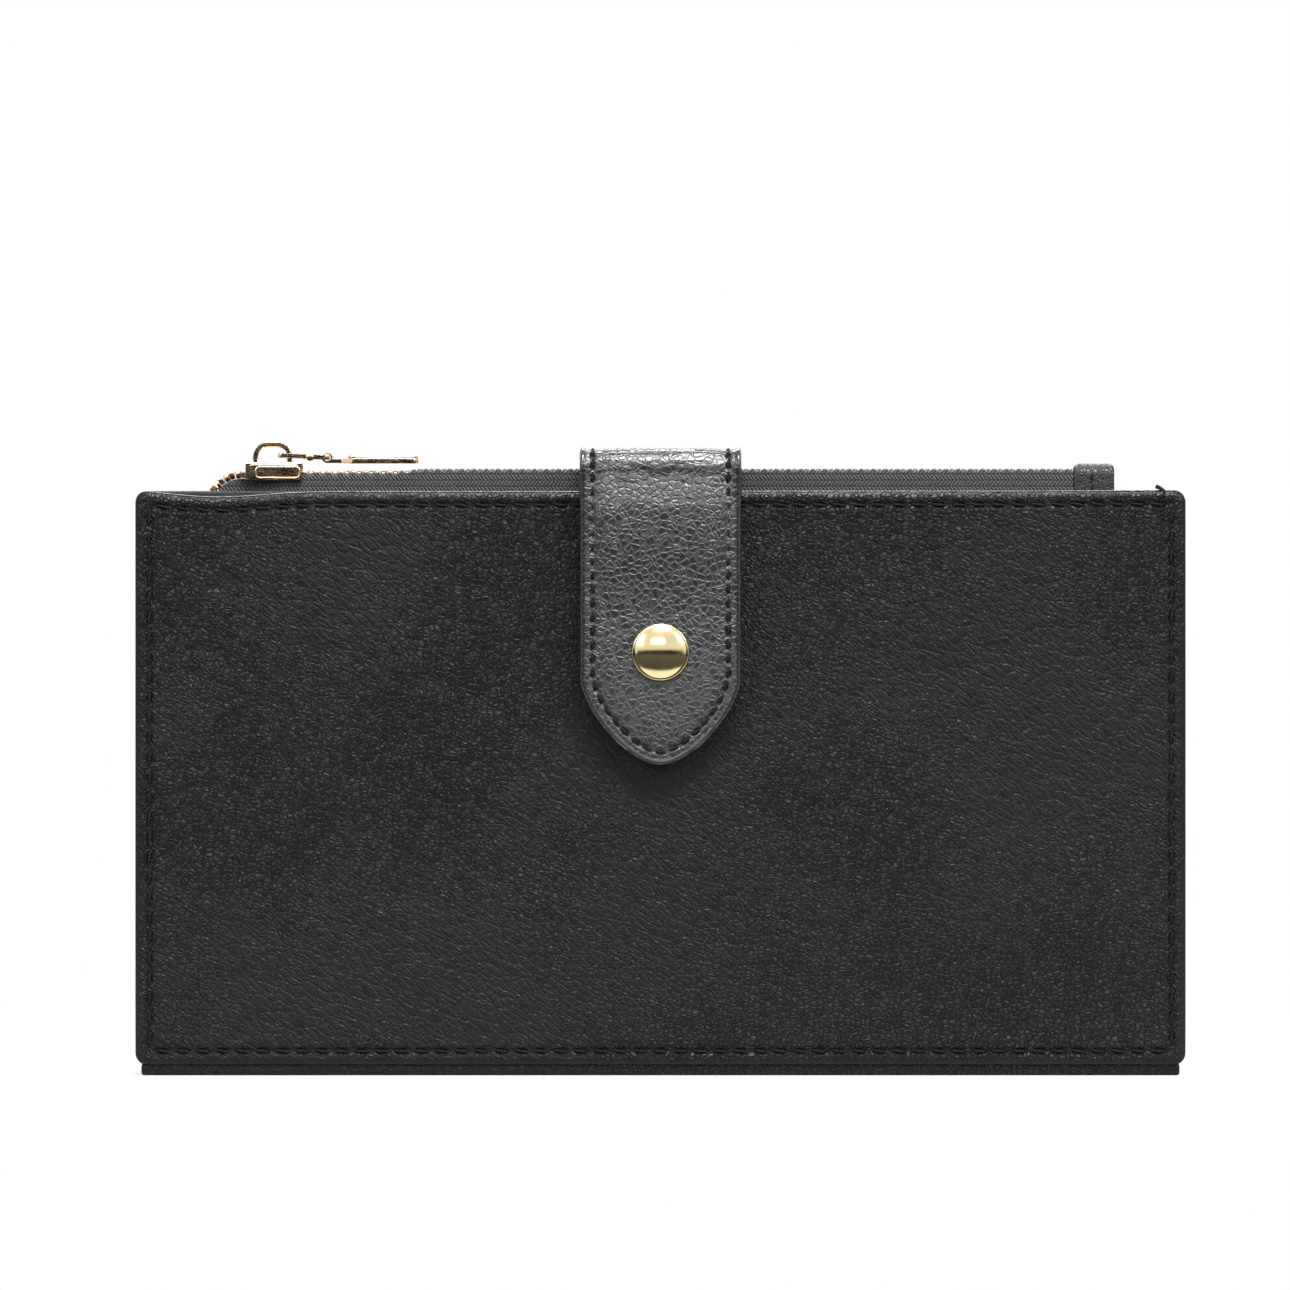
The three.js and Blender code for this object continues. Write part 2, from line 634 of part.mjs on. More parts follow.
// A flat bar with a rolled eye round the link's far wire.
function pullTab() {
  const bore = LINK_WIRE / 2 + PULL_EYE_GAP;
  const eyeRadius = bore + PULL_EYE_WALL;
  const halfEye = PULL_EYE_WIDTH / 2;
  const halfPull = PULL_WIDTH / 2;
  const eye = new THREE.Shape();
  eye.absarc(0, 0, eyeRadius, 0, 2 * Math.PI);
  const eyeSolid = toSolid(extrudeAlongY(eye, -halfEye, PULL_EYE_WIDTH, 10));
  const hole = new THREE.Shape();
  hole.absarc(0, 0, bore, 0, 2 * Math.PI);
  const holeSolid = toSolid(extrudeAlongY(hole, -halfEye - CUT_PAST, PULL_EYE_WIDTH + 2 * CUT_PAST, 10));
  const neckEnd = eyeRadius + PULL_NECK;
  const shoulderEnd = neckEnd + PULL_SHOULDER;
  const corner = PULL_LENGTH - PULL_CORNER;
  const plan = new THREE.Shape();
  plan.moveTo(0, -halfEye);
  plan.lineTo(neckEnd, -halfEye);
  plan.lineTo(shoulderEnd, -halfPull);
  plan.lineTo(corner, -halfPull);
  plan.absarc(corner, PULL_CORNER - halfPull, PULL_CORNER, -Math.PI / 2, 0);
  plan.absarc(corner, halfPull - PULL_CORNER, PULL_CORNER, 0, Math.PI / 2);
  plan.lineTo(shoulderEnd, halfPull);
  plan.lineTo(neckEnd, halfEye);
  plan.lineTo(0, halfEye);
  const bar = toSolid(extrude(plan, PULL_THICKNESS, 3).translate(0, 0, -eyeRadius));
  const solid = bar.add(eyeSolid).subtract(holeSolid);
  return toGeometry(solid).translate(pullPivotX, chainY, pullPivotZ);
}

// ---- Strap --------------------------------------------------------------------------------

const strapHalf = STRAP_WIDTH / 2;

// One layer of the strap over the top, with the quarter bend at the back. inner and outer are the
// layer's radii in the bend.
function strapTopLayer(inner, outer) {
  const shape = new THREE.Shape();
  const frontEnd = strapFrontBendY + LAYER_GAP;
  shape.moveTo(strapRearBendY + inner, strapBendZ);
  shape.lineTo(strapRearBendY + outer, strapBendZ);
  shape.absarc(strapRearBendY, strapBendZ, outer, 0, Math.PI / 2);
  shape.lineTo(frontEnd, strapBendZ + outer);
  shape.lineTo(frontEnd, strapBendZ + inner);
  shape.absarc(strapRearBendY, strapBendZ, inner, Math.PI / 2, 0, true);
  return extrudeAlongX(shape, -strapHalf, STRAP_WIDTH, 5);
}

// The bend at the front and the hanging flap, which narrows to a rounded point.
function strapFrontLayer(inner, outer) {
  const bend = new THREE.Shape();
  bend.moveTo(strapFrontBendY, strapBendZ + inner);
  bend.lineTo(strapFrontBendY, strapBendZ + outer);
  bend.absarc(strapFrontBendY, strapBendZ, outer, Math.PI / 2, Math.PI);
  bend.lineTo(strapFrontBendY - inner, strapBendZ);
  bend.absarc(strapFrontBendY, strapBendZ, inner, Math.PI, Math.PI / 2, true);
  const tip = coverTop - STRAP_TIP_DROP;
  const straightEnd = tip + STRAP_TIP_LENGTH;
  const lowShoulder = tip + STRAP_TIP_BLUNTNESS * STRAP_TIP_LENGTH;
  const highShoulder = straightEnd - STRAP_TIP_SHOULDER * STRAP_TIP_LENGTH;
  const flap = new THREE.Shape();
  flap.moveTo(-strapHalf, strapBendZ + WELD);
  flap.lineTo(-strapHalf, straightEnd);
  flap.bezierCurveTo(-strapHalf, highShoulder, -strapHalf / 2, lowShoulder, 0, tip);
  flap.bezierCurveTo(strapHalf / 2, lowShoulder, strapHalf, highShoulder, strapHalf, straightEnd);
  flap.lineTo(strapHalf, strapBendZ + WELD);
  const hanging = extrudeAlongY(flap, strapFrontBendY - outer, outer - inner, 8);
  const solid = toSolid(extrudeAlongX(bend, -strapHalf, STRAP_WIDTH, 5))
    .add(toSolid(hanging))
    .subtract(shankBore(-FRONT_FACE - STRAP_STANDOFF - 2 * strapThickness, -FRONT_FACE));
  return toGeometry(solid);
}

function strapTailLayer(inner, outer, shorter) {
  const bottom = coverTop - STRAP_TAIL_DROP + shorter;
  const top = strapBendZ - LAYER_GAP;
  const near = strapRearBendY + inner;
  const far = strapRearBendY + outer;
  return block(-strapHalf, strapHalf, near, far, bottom, top);
}

function strapTail() {
  const leather = strapTailLayer(strapLeatherRadius, strapOuterRadius, 0);
  const lining = strapTailLayer(STRAP_BEND_RADIUS, strapSplitRadius, STRAP_LINING_SHORTER);
  return [
    mesh("strap_tail_leather", leather, grainLeather),
    mesh("strap_tail_lining", lining, slotLeather),
  ];
}

function strapTop() {
  const leather = strapTopLayer(strapLeatherRadius, strapOuterRadius);
  const lining = strapTopLayer(STRAP_BEND_RADIUS, strapSplitRadius);
  return [
    mesh("strap_top_leather", leather, grainLeather),
    mesh("strap_top_lining", lining, slotLeather),
  ];
}

function snapCap() {
  const face = -FRONT_FACE - STRAP_STANDOFF - strapThickness - LAYER_GAP;
  const profile = [[0, -FRONT_FACE - STRAP_STANDOFF], [SHANK_RADIUS, -FRONT_FACE - STRAP_STANDOFF]];
  profile.push([SHANK_RADIUS, face], [CAP_RADIUS, face], [CAP_RADIUS, face - CAP_RIM]);
  const steps = 5;
  for (let i = 1; i < steps; i++) {
    const angle = ((i / steps) * Math.PI) / 2;
    const rise = (CAP_HEIGHT - CAP_RIM) * Math.sin(angle);
    profile.push([CAP_RADIUS * Math.cos(angle), face - CAP_RIM - rise]);
  }
  profile.push([0, face - CAP_HEIGHT]);
  return turned(profile.reverse(), snapZ);
}

function snapSocket() {
  const back = -FRONT_FACE - STRAP_STANDOFF + LAYER_GAP;
  const mouth = back + SOCKET_HEIGHT;
  const bore = STUD_RADIUS + SEAT_GAP;
  const profile = [
    [bore, back],
    [SOCKET_RADIUS, back],
    [SOCKET_RADIUS, mouth],
    [bore, mouth],
    [bore, back],
  ];
  return turned(profile, snapZ);
}

function strapFlap() {
  return [
    mesh("strap_flap_leather", strapFrontLayer(strapLeatherRadius, strapOuterRadius), grainLeather),
    mesh("strap_flap_lining", strapFrontLayer(STRAP_BEND_RADIUS, strapSplitRadius), slotLeather),
    mesh("snap_cap", snapCap(), goldMetal),
    mesh("snap_socket", snapSocket(), goldMetal),
  ];
}

// ---- The wallet ---------------------------------------------------------------------------

function assembly(pieces) {
  const group = new THREE.Group();
  group.add(...pieces);
  return group;
}

const wallet = new THREE.Group();
wallet.add(
  assembly(buildSpine()),
  assembly([...frontShell(), ...frontPockets(), ...snapStud()]),
  assembly([...rearShell(), ...rearSlots(), ...coinPocket(), ...buildZip(), ...strapTail()]),
  assembly(strapTop()),
  assembly(strapFlap()),
  assembly([mesh("zip_slider", sliderBody(), goldMetal)]),
  assembly([mesh("zip_pull_link", pullLink(), goldMetal)]),
  assembly([mesh("zip_pull_tab", pullTab(), goldMetal)]),
);

export default wallet;
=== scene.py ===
"""Visual model of a long leather wallet with a zipped coin pocket and a snap strap.

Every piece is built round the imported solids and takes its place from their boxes. Lengths in the
mesh code are millimetres in the frame of the solids, and are turned to metres where a mesh is made.
"""
import math

import bmesh
import bpy
import numpy as np
from bpy.props import FloatProperty, FloatVectorProperty, PointerProperty
from bpy.types import Operator, Panel, PropertyGroup
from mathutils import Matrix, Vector


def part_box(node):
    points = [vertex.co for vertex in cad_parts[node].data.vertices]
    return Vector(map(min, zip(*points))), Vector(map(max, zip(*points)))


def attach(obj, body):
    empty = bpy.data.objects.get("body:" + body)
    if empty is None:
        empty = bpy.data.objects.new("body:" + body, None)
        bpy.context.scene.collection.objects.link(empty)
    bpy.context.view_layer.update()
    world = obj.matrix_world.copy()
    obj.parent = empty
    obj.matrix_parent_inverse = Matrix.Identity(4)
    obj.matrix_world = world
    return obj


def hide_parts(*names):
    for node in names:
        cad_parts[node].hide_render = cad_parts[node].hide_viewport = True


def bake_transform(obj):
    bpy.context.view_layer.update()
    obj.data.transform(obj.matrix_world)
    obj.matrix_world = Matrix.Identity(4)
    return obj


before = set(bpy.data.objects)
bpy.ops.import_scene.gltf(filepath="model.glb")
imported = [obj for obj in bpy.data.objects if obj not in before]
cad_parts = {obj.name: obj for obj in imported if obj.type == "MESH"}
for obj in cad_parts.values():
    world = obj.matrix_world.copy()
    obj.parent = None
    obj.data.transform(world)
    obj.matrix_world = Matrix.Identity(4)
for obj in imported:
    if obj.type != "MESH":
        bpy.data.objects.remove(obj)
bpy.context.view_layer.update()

bl_info = {
    "name": "Long wallet",
    "version": (1, 0, 0),
    "blender": (4, 5, 0),
    "location": "3D View > Sidebar > Wallet",
    "description": "Builds the leather, stitching, zip and snap of a long wallet",
    "category": "Object",
}

MM = 0.001
TAU = 2 * math.pi


# ---- Places taken from the solids ---------------------------------------------------------


def box_mm(node):
    low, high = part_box(node)
    return np.array(low) / MM, np.array(high) / MM


FRONT_LOW, FRONT_HIGH = box_mm("front_cover_leather")
BACK_LOW, BACK_HIGH = box_mm("back_cover_leather")
SLIDER_LOW, SLIDER_HIGH = box_mm("zip_slider")
TAPE_LOW, TAPE_HIGH = box_mm("zip_tape_front")
REAR_TAPE_LOW, REAR_TAPE_HIGH = box_mm("zip_tape_rear")
TEETH_LOW, TEETH_HIGH = box_mm("zip_teeth_front")
TAIL_LOW, TAIL_HIGH = box_mm("strap_tail_leather")
TOP_LOW, TOP_HIGH = box_mm("strap_top_leather")
FLAP_LOW, FLAP_HIGH = box_mm("strap_flap_leather")
CAP_LOW, CAP_HIGH = box_mm("snap_cap")

COVER_TOP = FRONT_HIGH[2]
COVER_BOTTOM = FRONT_LOW[2]
HALF_WIDTH = FRONT_HIGH[0]
CHAIN_Y = (TAPE_LOW[1] + REAR_TAPE_HIGH[1]) / 2

# ---- Colours ------------------------------------------------------------------------------


def linear(code):
    """An sRGB hex colour as linear red, green, blue and alpha."""
    parts = [int(code[i : i + 2], 16) / 255 for i in (1, 3, 5)]
    plain = [p / 12.92 if p <= 0.04045 else ((p + 0.055) / 1.055) ** 2.4 for p in parts]
    return (*plain, 1.0)


def colour_property(name, code, description):
    return FloatVectorProperty(
        name=name, description=description, subtype="COLOR", size=3, min=0, max=1,
        default=linear(code)[:3])


def length_property(name, mm, description):
    return FloatProperty(
        name=name, description=description, subtype="DISTANCE", unit="LENGTH", min=0,
        default=mm * MM)


class WalletSizes(PropertyGroup):
    cover_grain: length_property("Cover grain", 0.95, "Width of one pebble of the covers' grain")
    strap_grain: length_property("Strap grain", 1.15, "Width of one pebble of the strap's grain")
    slot_grain: length_property("Slot grain", 0.55, "Width of one pebble of the slots' grain")
    cover_stitch: length_property("Cover stitch", 3.6, "From one stitch to the next on the covers")
    strap_stitch: length_property("Strap stitch", 2.5, "From one stitch to the next on the strap")
    thread: length_property("Thread", 0.5, "Thickness of the sewing thread")
    weave: length_property("Lining weave", 0.45, "From one thread to the next in the lining")
    herringbone: length_property("Tape rib", 1.1, "Width of one rib of the zip tape")


class WalletColours(PropertyGroup):
    cover: colour_property("Cover leather", "#101113", "Top colour of the covers' leather")
    strap: colour_property("Strap leather", "#151619", "Top colour of the strap's leather")
    slots: colour_property("Slot leather", "#161719", "Colour of the thin leather inside")
    lining: colour_property("Lining", "#1c1d20", "Colour of the nylon lining")
    tape: colour_property("Zip tape", "#1e1f21", "Colour of the zip's tape")
    thread: colour_property("Thread", "#0b0b0c", "Colour of the sewing thread")
    gold: colour_property("Gold plating", "#f0dca8", "Colour of the plated snap")
    zip_gold: colour_property("Zip plating", "#efd2ae", "Colour of the plated slider and teeth")
    floor: colour_property("Floor", "#f7f7f7", "Colour of the studio floor")


def sizes():
    return bpy.context.scene.wallet_sizes


def colour(name):
    return (*getattr(bpy.context.scene.wallet_colours, name), 1.0)


# ---- Materials ----------------------------------------------------------------------------


def add(tree, kind, inputs=None, **settings):
    """Adds a node, its settings, and its inputs as values or as links from other sockets."""
    node = tree.nodes.new(kind)
    for name, value in settings.items():
        setattr(node, name, value)
    for name, value in (inputs or {}).items():
        if isinstance(value, bpy.types.NodeSocket):
            tree.links.new(value, node.inputs[name])
        else:
            node.inputs[name].default_value = value
    return node


def start_material(name):
    """A new material with one shader: the material, its node tree and the shader."""
    material = bpy.data.materials.new(name)
    material.use_nodes = True
    tree = material.node_tree
    tree.nodes.clear()
    shader = add(tree, "ShaderNodeBsdfPrincipled")
    add(tree, "ShaderNodeOutputMaterial", {"Surface": shader.outputs[0]})
    return material, tree, shader


def wave_of(tree, vector, scale, direction):
    wave = {"Vector": vector, "Scale": scale}
    return add(tree, "ShaderNodeTexWave", wave, bands_direction=direction).outputs["Fac"]


def noise_of(tree, vector, scale, detail):
    noise_inputs = {"Vector": vector, "Scale": scale, "Detail": detail}
    return add(tree, "ShaderNodeTexNoise", noise_inputs)


def voronoi_of(tree, vector, scale, randomness, feature="DISTANCE_TO_EDGE"):
    voronoi = {"Vector": vector, "Scale": scale, "Randomness": randomness}
    return add(tree, "ShaderNodeTexVoronoi", voronoi, feature=feature)


def vector_math(tree, operation, a, b):
    return add(tree, "ShaderNodeVectorMath", {0: a, 1: b}, operation=operation)


def ranged(tree, value, low, high, to_low=0.0, to_high=1.0):
    limits = {
        "Value": value, "From Min": low, "From Max": high, "To Min": to_low, "To Max": to_high}
    return add(tree, "ShaderNodeMapRange", limits, interpolation_type="SMOOTHSTEP").outputs[0]


def combined(tree, operation, a, b):
    return add(tree, "ShaderNodeMath", {0: a, 1: b}, operation=operation).outputs[0]


def product(tree, a, b):
    return combined(tree, "MULTIPLY", a, b)


def total_of(tree, *values):
    result = values[0]
    for value in values[1:]:
        result = combined(tree, "ADD", result, value)
    return result


def mixed(tree, factor, a, b):
    node = add(tree, "ShaderNodeMix", data_type="RGBA")
    for socket, value in ((node.inputs[0], factor), (node.inputs[6], a), (node.inputs[7], b)):
        if isinstance(value, bpy.types.NodeSocket):
            tree.links.new(value, socket)
        else:
            socket.default_value = value
    return node.outputs[2]


def shade(rgba, factor):
    return (*(channel * factor for channel in rgba[:3]), 1.0)


def dress(tree, shader, tone, height, distance, gloss=None):
    """Gives the shader its colour, its bump and, if it varies, its roughness."""
    bump = add(tree, "ShaderNodeBump", {"Height": height, "Strength": 1.0, "Distance": distance})
    tree.links.new(bump.outputs[0], shader.inputs["Normal"])
    tree.links.new(tone, shader.inputs["Base Color"])
    if gloss is not None:
        tree.links.new(gloss, shader.inputs["Roughness"])


HALF_GREY = (0.5, 0.5, 0.5)
CRACK_WIDTH = 0.1  # of one pebble, from the middle of a crack to its shoulder


def embossed_cowhide(name, rgba, cell, depth, roughness, gloss_level, facet=2.2, pulled_share=0.0,
                     smoothest=0.2):
    """Chrome-tanned cowhide, drummed and embossed with a pebble grain, under a satin top coat: the
    pebbles catch small highlights, the creases between them are painted dark as shade and made
    dull, the needle holes are painted near black as shade, and the colour is a little uneven, as
    dye is."""
    material, tree, shader = start_material(name)
    shader.inputs["IOR"].default_value = 1.5
    shader.inputs["Specular IOR Level"].default_value = gloss_level
    place = add(tree, "ShaderNodeTexCoord").outputs["Object"]
    warp = noise_of(tree, place, 0.35 / cell, 1.0).outputs["Color"]
    shift = vector_math(tree, "SUBTRACT", warp, HALF_GREY).outputs[0]
    shift = add(
        tree, "ShaderNodeVectorMath", {0: shift, "Scale": 1.1 * cell}, operation="SCALE")
    bent = vector_math(tree, "ADD", place, shift.outputs[0]).outputs[0]

    # Each pebble is a raised facet with a lean of its own, between cracks.
    edges = voronoi_of(tree, bent, 1 / cell, 0.95).outputs["Distance"]
    cells = voronoi_of(tree, bent, 1 / cell, 0.95, "F1")
    local = vector_math(tree, "SUBTRACT", bent, cells.outputs["Position"]).outputs[0]
    lean = vector_math(tree, "SUBTRACT", cells.outputs["Color"], HALF_GREY).outputs[0]
    tilt = vector_math(tree, "DOT_PRODUCT", local, lean).outputs["Value"]
    tilt = product(tree, tilt, facet / cell)
    top = ranged(tree, edges, 0.0, 2 * CRACK_WIDTH)
    fine = voronoi_of(tree, bent, 2.7 / cell, 1.0).outputs["Distance"]
    small = ranged(tree, fine, 0.0, 0.3)
    creases = noise_of(tree, bent, 0.16 / cell, 5.0).outputs["Fac"]
    pores = noise_of(tree, place, 4.5 / cell, 2.0).outputs["Fac"]
    blotch = noise_of(tree, place, 22.0, 3.0).outputs["Fac"]
    worn = ranged(tree, blotch, 0.34, 0.62, smoothest, 1.0)

    # Where the hide was pulled, the cracks are long and slanting.
    slanted = add(
        tree, "ShaderNodeMapping",
        {"Vector": bent, "Rotation": (0.0, 0.65, 0.0), "Scale": (3.2, 1.0, 1.0)},
        vector_type="TEXTURE").outputs[0]
    drawn = voronoi_of(tree, slanted, 0.8 / cell, 1.0).outputs["Distance"]
    pulled = product(
        tree, ranged(tree, drawn, 0.0, 0.16),
        ranged(tree, blotch, 0.45, 0.62, pulled_share, 0.0))

    rim = add(tree, "ShaderNodeAttribute", attribute_name="smooth_rim").outputs["Fac"]
    holes = add(tree, "ShaderNodeAttribute", attribute_name="needle_holes").outputs["Fac"]
    height = total_of(
        tree, product(tree, total_of(tree, top, tilt), worn), product(tree, small, 0.14),
        product(tree, creases, 1.9), pulled, product(tree, pores, 0.1))
    height = product(tree, height, combined(tree, "SUBTRACT", 1.0, product(tree, rim, 0.86)))
    # Painted shade: the colour in the cracks between pebbles is darkened to 15 percent, a shade the
    # bump itself cannot cast.
    painted_crack_shade_mask = combined(tree, "MAXIMUM", top, rim)
    tone = mixed(tree, painted_crack_shade_mask, shade(rgba, 0.15), rgba)
    tone = mixed(tree, ranged(tree, blotch, 0.35, 0.7), shade(rgba, 0.82), tone)
    # Painted shade: the needle holes are painted near black.
    tone = mixed(tree, holes, tone, linear("#020202"))
    gloss = ranged(tree, blotch, 0.3, 0.7, roughness + 0.07, roughness - 0.05)
    gloss = total_of(tree, gloss, product(tree, combined(tree, "SUBTRACT", 1.0, painted_crack_shade_mask), 0.35))
    gloss = combined(tree, "SUBTRACT", gloss, product(tree, rim, 0.1))
    gloss = combined(tree, "MAXIMUM", gloss, holes)
    dress(tree, shader, tone, height, depth, gloss)
    return material


def woven_nylon(name, rgba, pitch):
    """Plain-woven filament nylon, dyed black: crossing threads that show as a fine even check with
    a slight sheen. The check is also painted into the colour: lighter on the raised threads as a
    painted highlight, darker between them as painted shade."""
    material, tree, shader = start_material(name)
    shader.inputs["Roughness"].default_value = 0.7
    shader.inputs["Sheen Weight"].default_value = 0.25
    shader.inputs["Sheen Roughness"].default_value = 0.4
    place = add(tree, "ShaderNodeTexCoord").outputs["Object"]
    scale = TAU / (20 * pitch)
    check = product(tree, wave_of(tree, place, scale, "X"), wave_of(tree, place, scale, "Z"))
    slub = noise_of(tree, place, 160.0, 4.0).outputs["Fac"]
    # Painted highlight and shade: the colour follows the weave's height, lighter on top.
    tone = mixed(tree, check, shade(rgba, 0.45), shade(rgba, 1.3))
    tone = mixed(tree, ranged(tree, slub, 0.3, 0.7), shade(rgba, 0.6), tone)
    dress(tree, shader, tone, check, 0.12 * MM)
    return material


def herringbone_tape(name, rgba, rib):
    """Spun polyester tape woven in a herringbone, dyed black: ribs a millimetre wide whose slant
    turns at each one, fuzzy enough to look dull. The rib tops are painted lighter as a highlight
    and the valleys darker as shade."""
    material, tree, shader = start_material(name)
    shader.inputs["Roughness"].default_value = 0.82
    shader.inputs["Sheen Weight"].default_value = 0.35
    shader.inputs["Sheen Roughness"].default_value = 0.5
    place = add(tree, "ShaderNodeTexCoord").outputs["Object"]
    parts = add(tree, "ShaderNodeSeparateXYZ", {"Vector": place}).outputs
    zigzag = combined(tree, "PINGPONG", parts["Z"], rib)
    slanted = total_of(tree, parts["X"], product(tree, zigzag, 0.8))
    line = add(tree, "ShaderNodeCombineXYZ", {"X": slanted}).outputs[0]
    twill = wave_of(tree, line, TAU / (20 * 0.62 * rib), "X")
    valley = ranged(tree, combined(tree, "PINGPONG", parts["Z"], rib / 2), 0.0, rib / 5)
    height = product(tree, twill, valley)
    fuzz = noise_of(tree, place, 2600.0, 3.0).outputs["Fac"]
    rough = total_of(tree, height, product(tree, fuzz, 0.5))
    # Painted highlight and shade: the rib tops are lit up to 4.5 times the colour, the valleys
    # darkened to 0.15.
    tone = mixed(tree, height, shade(rgba, 0.15), shade(rgba, 4.5))
    dress(tree, shader, tone, rough, 0.22 * MM)
    return material


def spun_thread(name, rgba):
    """Three-ply spun polyester thread, waxed: a slanting twist that breaks up its highlight. The
    twist's ridges are painted lighter as a highlight and its grooves darker as shade.
    """
    material, tree, shader = start_material(name)
    shader.inputs["Roughness"].default_value = 0.6
    shader.inputs["Specular IOR Level"].default_value = 0.15
    place = add(tree, "ShaderNodeTexCoord").outputs["Object"]
    turned = add(tree, "ShaderNodeMapping", {"Vector": place, "Rotation": (0.5, 0.6, 0.7)})
    ply = wave_of(tree, turned.outputs[0], TAU / (20 * 0.3 * MM), "X")
    # Painted highlight and shade: the colour follows the twist's height, lighter on its ridges.
    dress(tree, shader, mixed(tree, ply, shade(rgba, 0.5), shade(rgba, 1.5)), ply, 0.08 * MM)
    return material


def plated_brass(name, rgba, roughness, scuff):
    """Brass or zinc, tumbled and flash-plated in pale gold: mirror-like, with hairline scuffs that
    spread the highlight a little and cloudy patches where hands dull it."""
    material, tree, shader = start_material(name)
    shader.inputs["Metallic"].default_value = 1.0
    place = add(tree, "ShaderNodeTexCoord").outputs["Object"]
    haze = noise_of(tree, place, 450.0, 4.0).outputs["Fac"]
    streak = add(tree, "ShaderNodeMapping", {"Vector": place, "Scale": (1.0, 6.0, 9.0)})
    lines = noise_of(tree, streak.outputs[0], 900.0, 2.0).outputs["Fac"]
    gloss = ranged(tree, haze, 0.35, 0.75, roughness, roughness + 0.08)
    dress(tree, shader, mixed(tree, haze, shade(rgba, 0.86), rgba), lines, scuff, gloss)
    return material


# Each material's maker, its colour, and what else the maker takes
FINISHES = {
    "cover_cowhide": lambda: (
        embossed_cowhide, "cover", sizes().cover_grain, 0.19 * MM, 0.34, 0.17, 2.2, 0.7),
    "strap_cowhide": lambda: (
        embossed_cowhide, "strap", sizes().strap_grain, 0.1 * MM, 0.31, 0.78, 1.6, 0.0, 0.75),
    "tab_cowhide": lambda: (
        embossed_cowhide, "strap", sizes().slot_grain, 0.06 * MM, 0.38, 0.5),
    "slot_calf": lambda: (embossed_cowhide, "slots", sizes().slot_grain, 0.05 * MM, 0.5, 0.3),
    "nylon_lining": lambda: (woven_nylon, "lining", sizes().weave),
    "zip_tape_cloth": lambda: (herringbone_tape, "tape", sizes().herringbone),
    "sewing_thread": lambda: (spun_thread, "thread"),
    "polished_gold_plate": lambda: (plated_brass, "gold", 0.1, 0.004 * MM),
    "tumbled_gold_plate": lambda: (plated_brass, "zip_gold", 0.12, 0.01 * MM),
    "bright_zip_plate": lambda: (plated_brass, "zip_gold", 0.07, 0.006 * MM),
}


def material(name):
    made = bpy.data.materials.get(name)
    if made is None:
        maker, tint, *rest = FINISHES[name]()
        made = maker(name, colour(tint), *rest)
    return made


# ---- Mesh helpers -------------------------------------------------------------------------


def lattice(i, j, seed):
    """A number from 0 to 1 for each pair of whole numbers, the same on every run."""
    n = (i * 374761393 + j * 668265263 + seed * 974634777) & 0xFFFFFFFF
    n = ((n ^ (n >> 13)) * 1274126177) & 0xFFFFFFFF
    return ((n ^ (n >> 16)) & 0xFFFFFF) / 0xFFFFFF


def noise(u, v, seed):
    """Smooth noise from -1 to 1, with one swell to a unit of u and v."""
    i, j = np.floor(u).astype(np.int64), np.floor(v).astype(np.int64)
    a, b = u - i, v - j
    a, b = a * a * (3 - 2 * a), b * b * (3 - 2 * b)
    low = lattice(i, j, seed) * (1 - a) + lattice(i + 1, j, seed) * a
    high = lattice(i, j + 1, seed) * (1 - a) + lattice(i + 1, j + 1, seed) * a
    return 2 * (low * (1 - b) + high * b) - 1


def layered(u, v, seed, layers=3):
    total = np.zeros_like(u)
    for k in range(layers):
        total += noise(u * 2**k, v * 2**k, seed + k) / 2**k
    return total


def cracks(u, v, seed):
    """How near a point is to the line between two pebbles: 0 on it, and about 0.5 in the middle."""
    i, j = np.floor(u).astype(np.int64), np.floor(v).astype(np.int64)
    first, second = np.full(u.shape, 9.0), np.full(u.shape, 9.0)
    for di in (-1, 0, 1):
        for dj in (-1, 0, 1):
            x = i + di + 0.5 + 0.8 * (lattice(i + di, j + dj, seed) - 0.5)
            y = j + dj + 0.5 + 0.8 * (lattice(i + di, j + dj, seed + 9) - 0.5)
            far = np.hypot(u - x, v - y)
            second = np.minimum(second, np.maximum(far, first))
            first = np.minimum(first, far)
    return (second - first) / 2


def bell(value, middle, width):
    return np.exp(-(((value - middle) / width) ** 2))


def unit(vectors):
    return vectors / np.linalg.norm(vectors, axis=-1, keepdims=True)


def pulls(run, pitch):
    """1 at each needle hole along a row of stitches, 0 halfway between two."""
    return 0.5 + 0.5 * np.cos(TAU * run / pitch)


def smooth(value, low, high):
    t = np.clip((value - low) / (high - low), 0, 1)
    return t * t * (3 - 2 * t)


def make(name, points, faces, finish, body, replaces=(), rim=None, sharp=(), holes=None):
    """A piece from points in millimetres, with its material and body."""
    mesh = bpy.data.meshes.new(name)
    mesh.from_pydata((np.asarray(points, float) * MM).tolist(), [], [list(f) for f in faces])
    mesh.validate()
    mesh.shade_smooth()
    for label, given in (("smooth_rim", rim), ("needle_holes", holes)):
        if given is not None:
            values = np.zeros(len(mesh.vertices), np.float32)
            values[: len(given)] = given
            mesh.attributes.new(label, "FLOAT", "POINT").data.foreach_set("value", values)
    mesh.materials.append(material(finish))
    if sharp:
        wanted = {tuple(sorted(pair)) for pair in sharp}
        for edge in mesh.edges:
            if tuple(sorted(edge.vertices)) in wanted:
                edge.use_edge_sharp = True
    piece = bpy.data.objects.new(name, mesh)
    bpy.context.scene.collection.objects.link(piece)
    facing_out(piece)
    if body:
        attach(piece, body)
    if replaces:
        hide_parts(*replaces)
    return piece


def facing_out(piece):
    shape = bmesh.new()
    shape.from_mesh(piece.data)
    bmesh.ops.recalc_face_normals(shape, faces=shape.faces)
    shape.to_mesh(piece.data)
    shape.free()


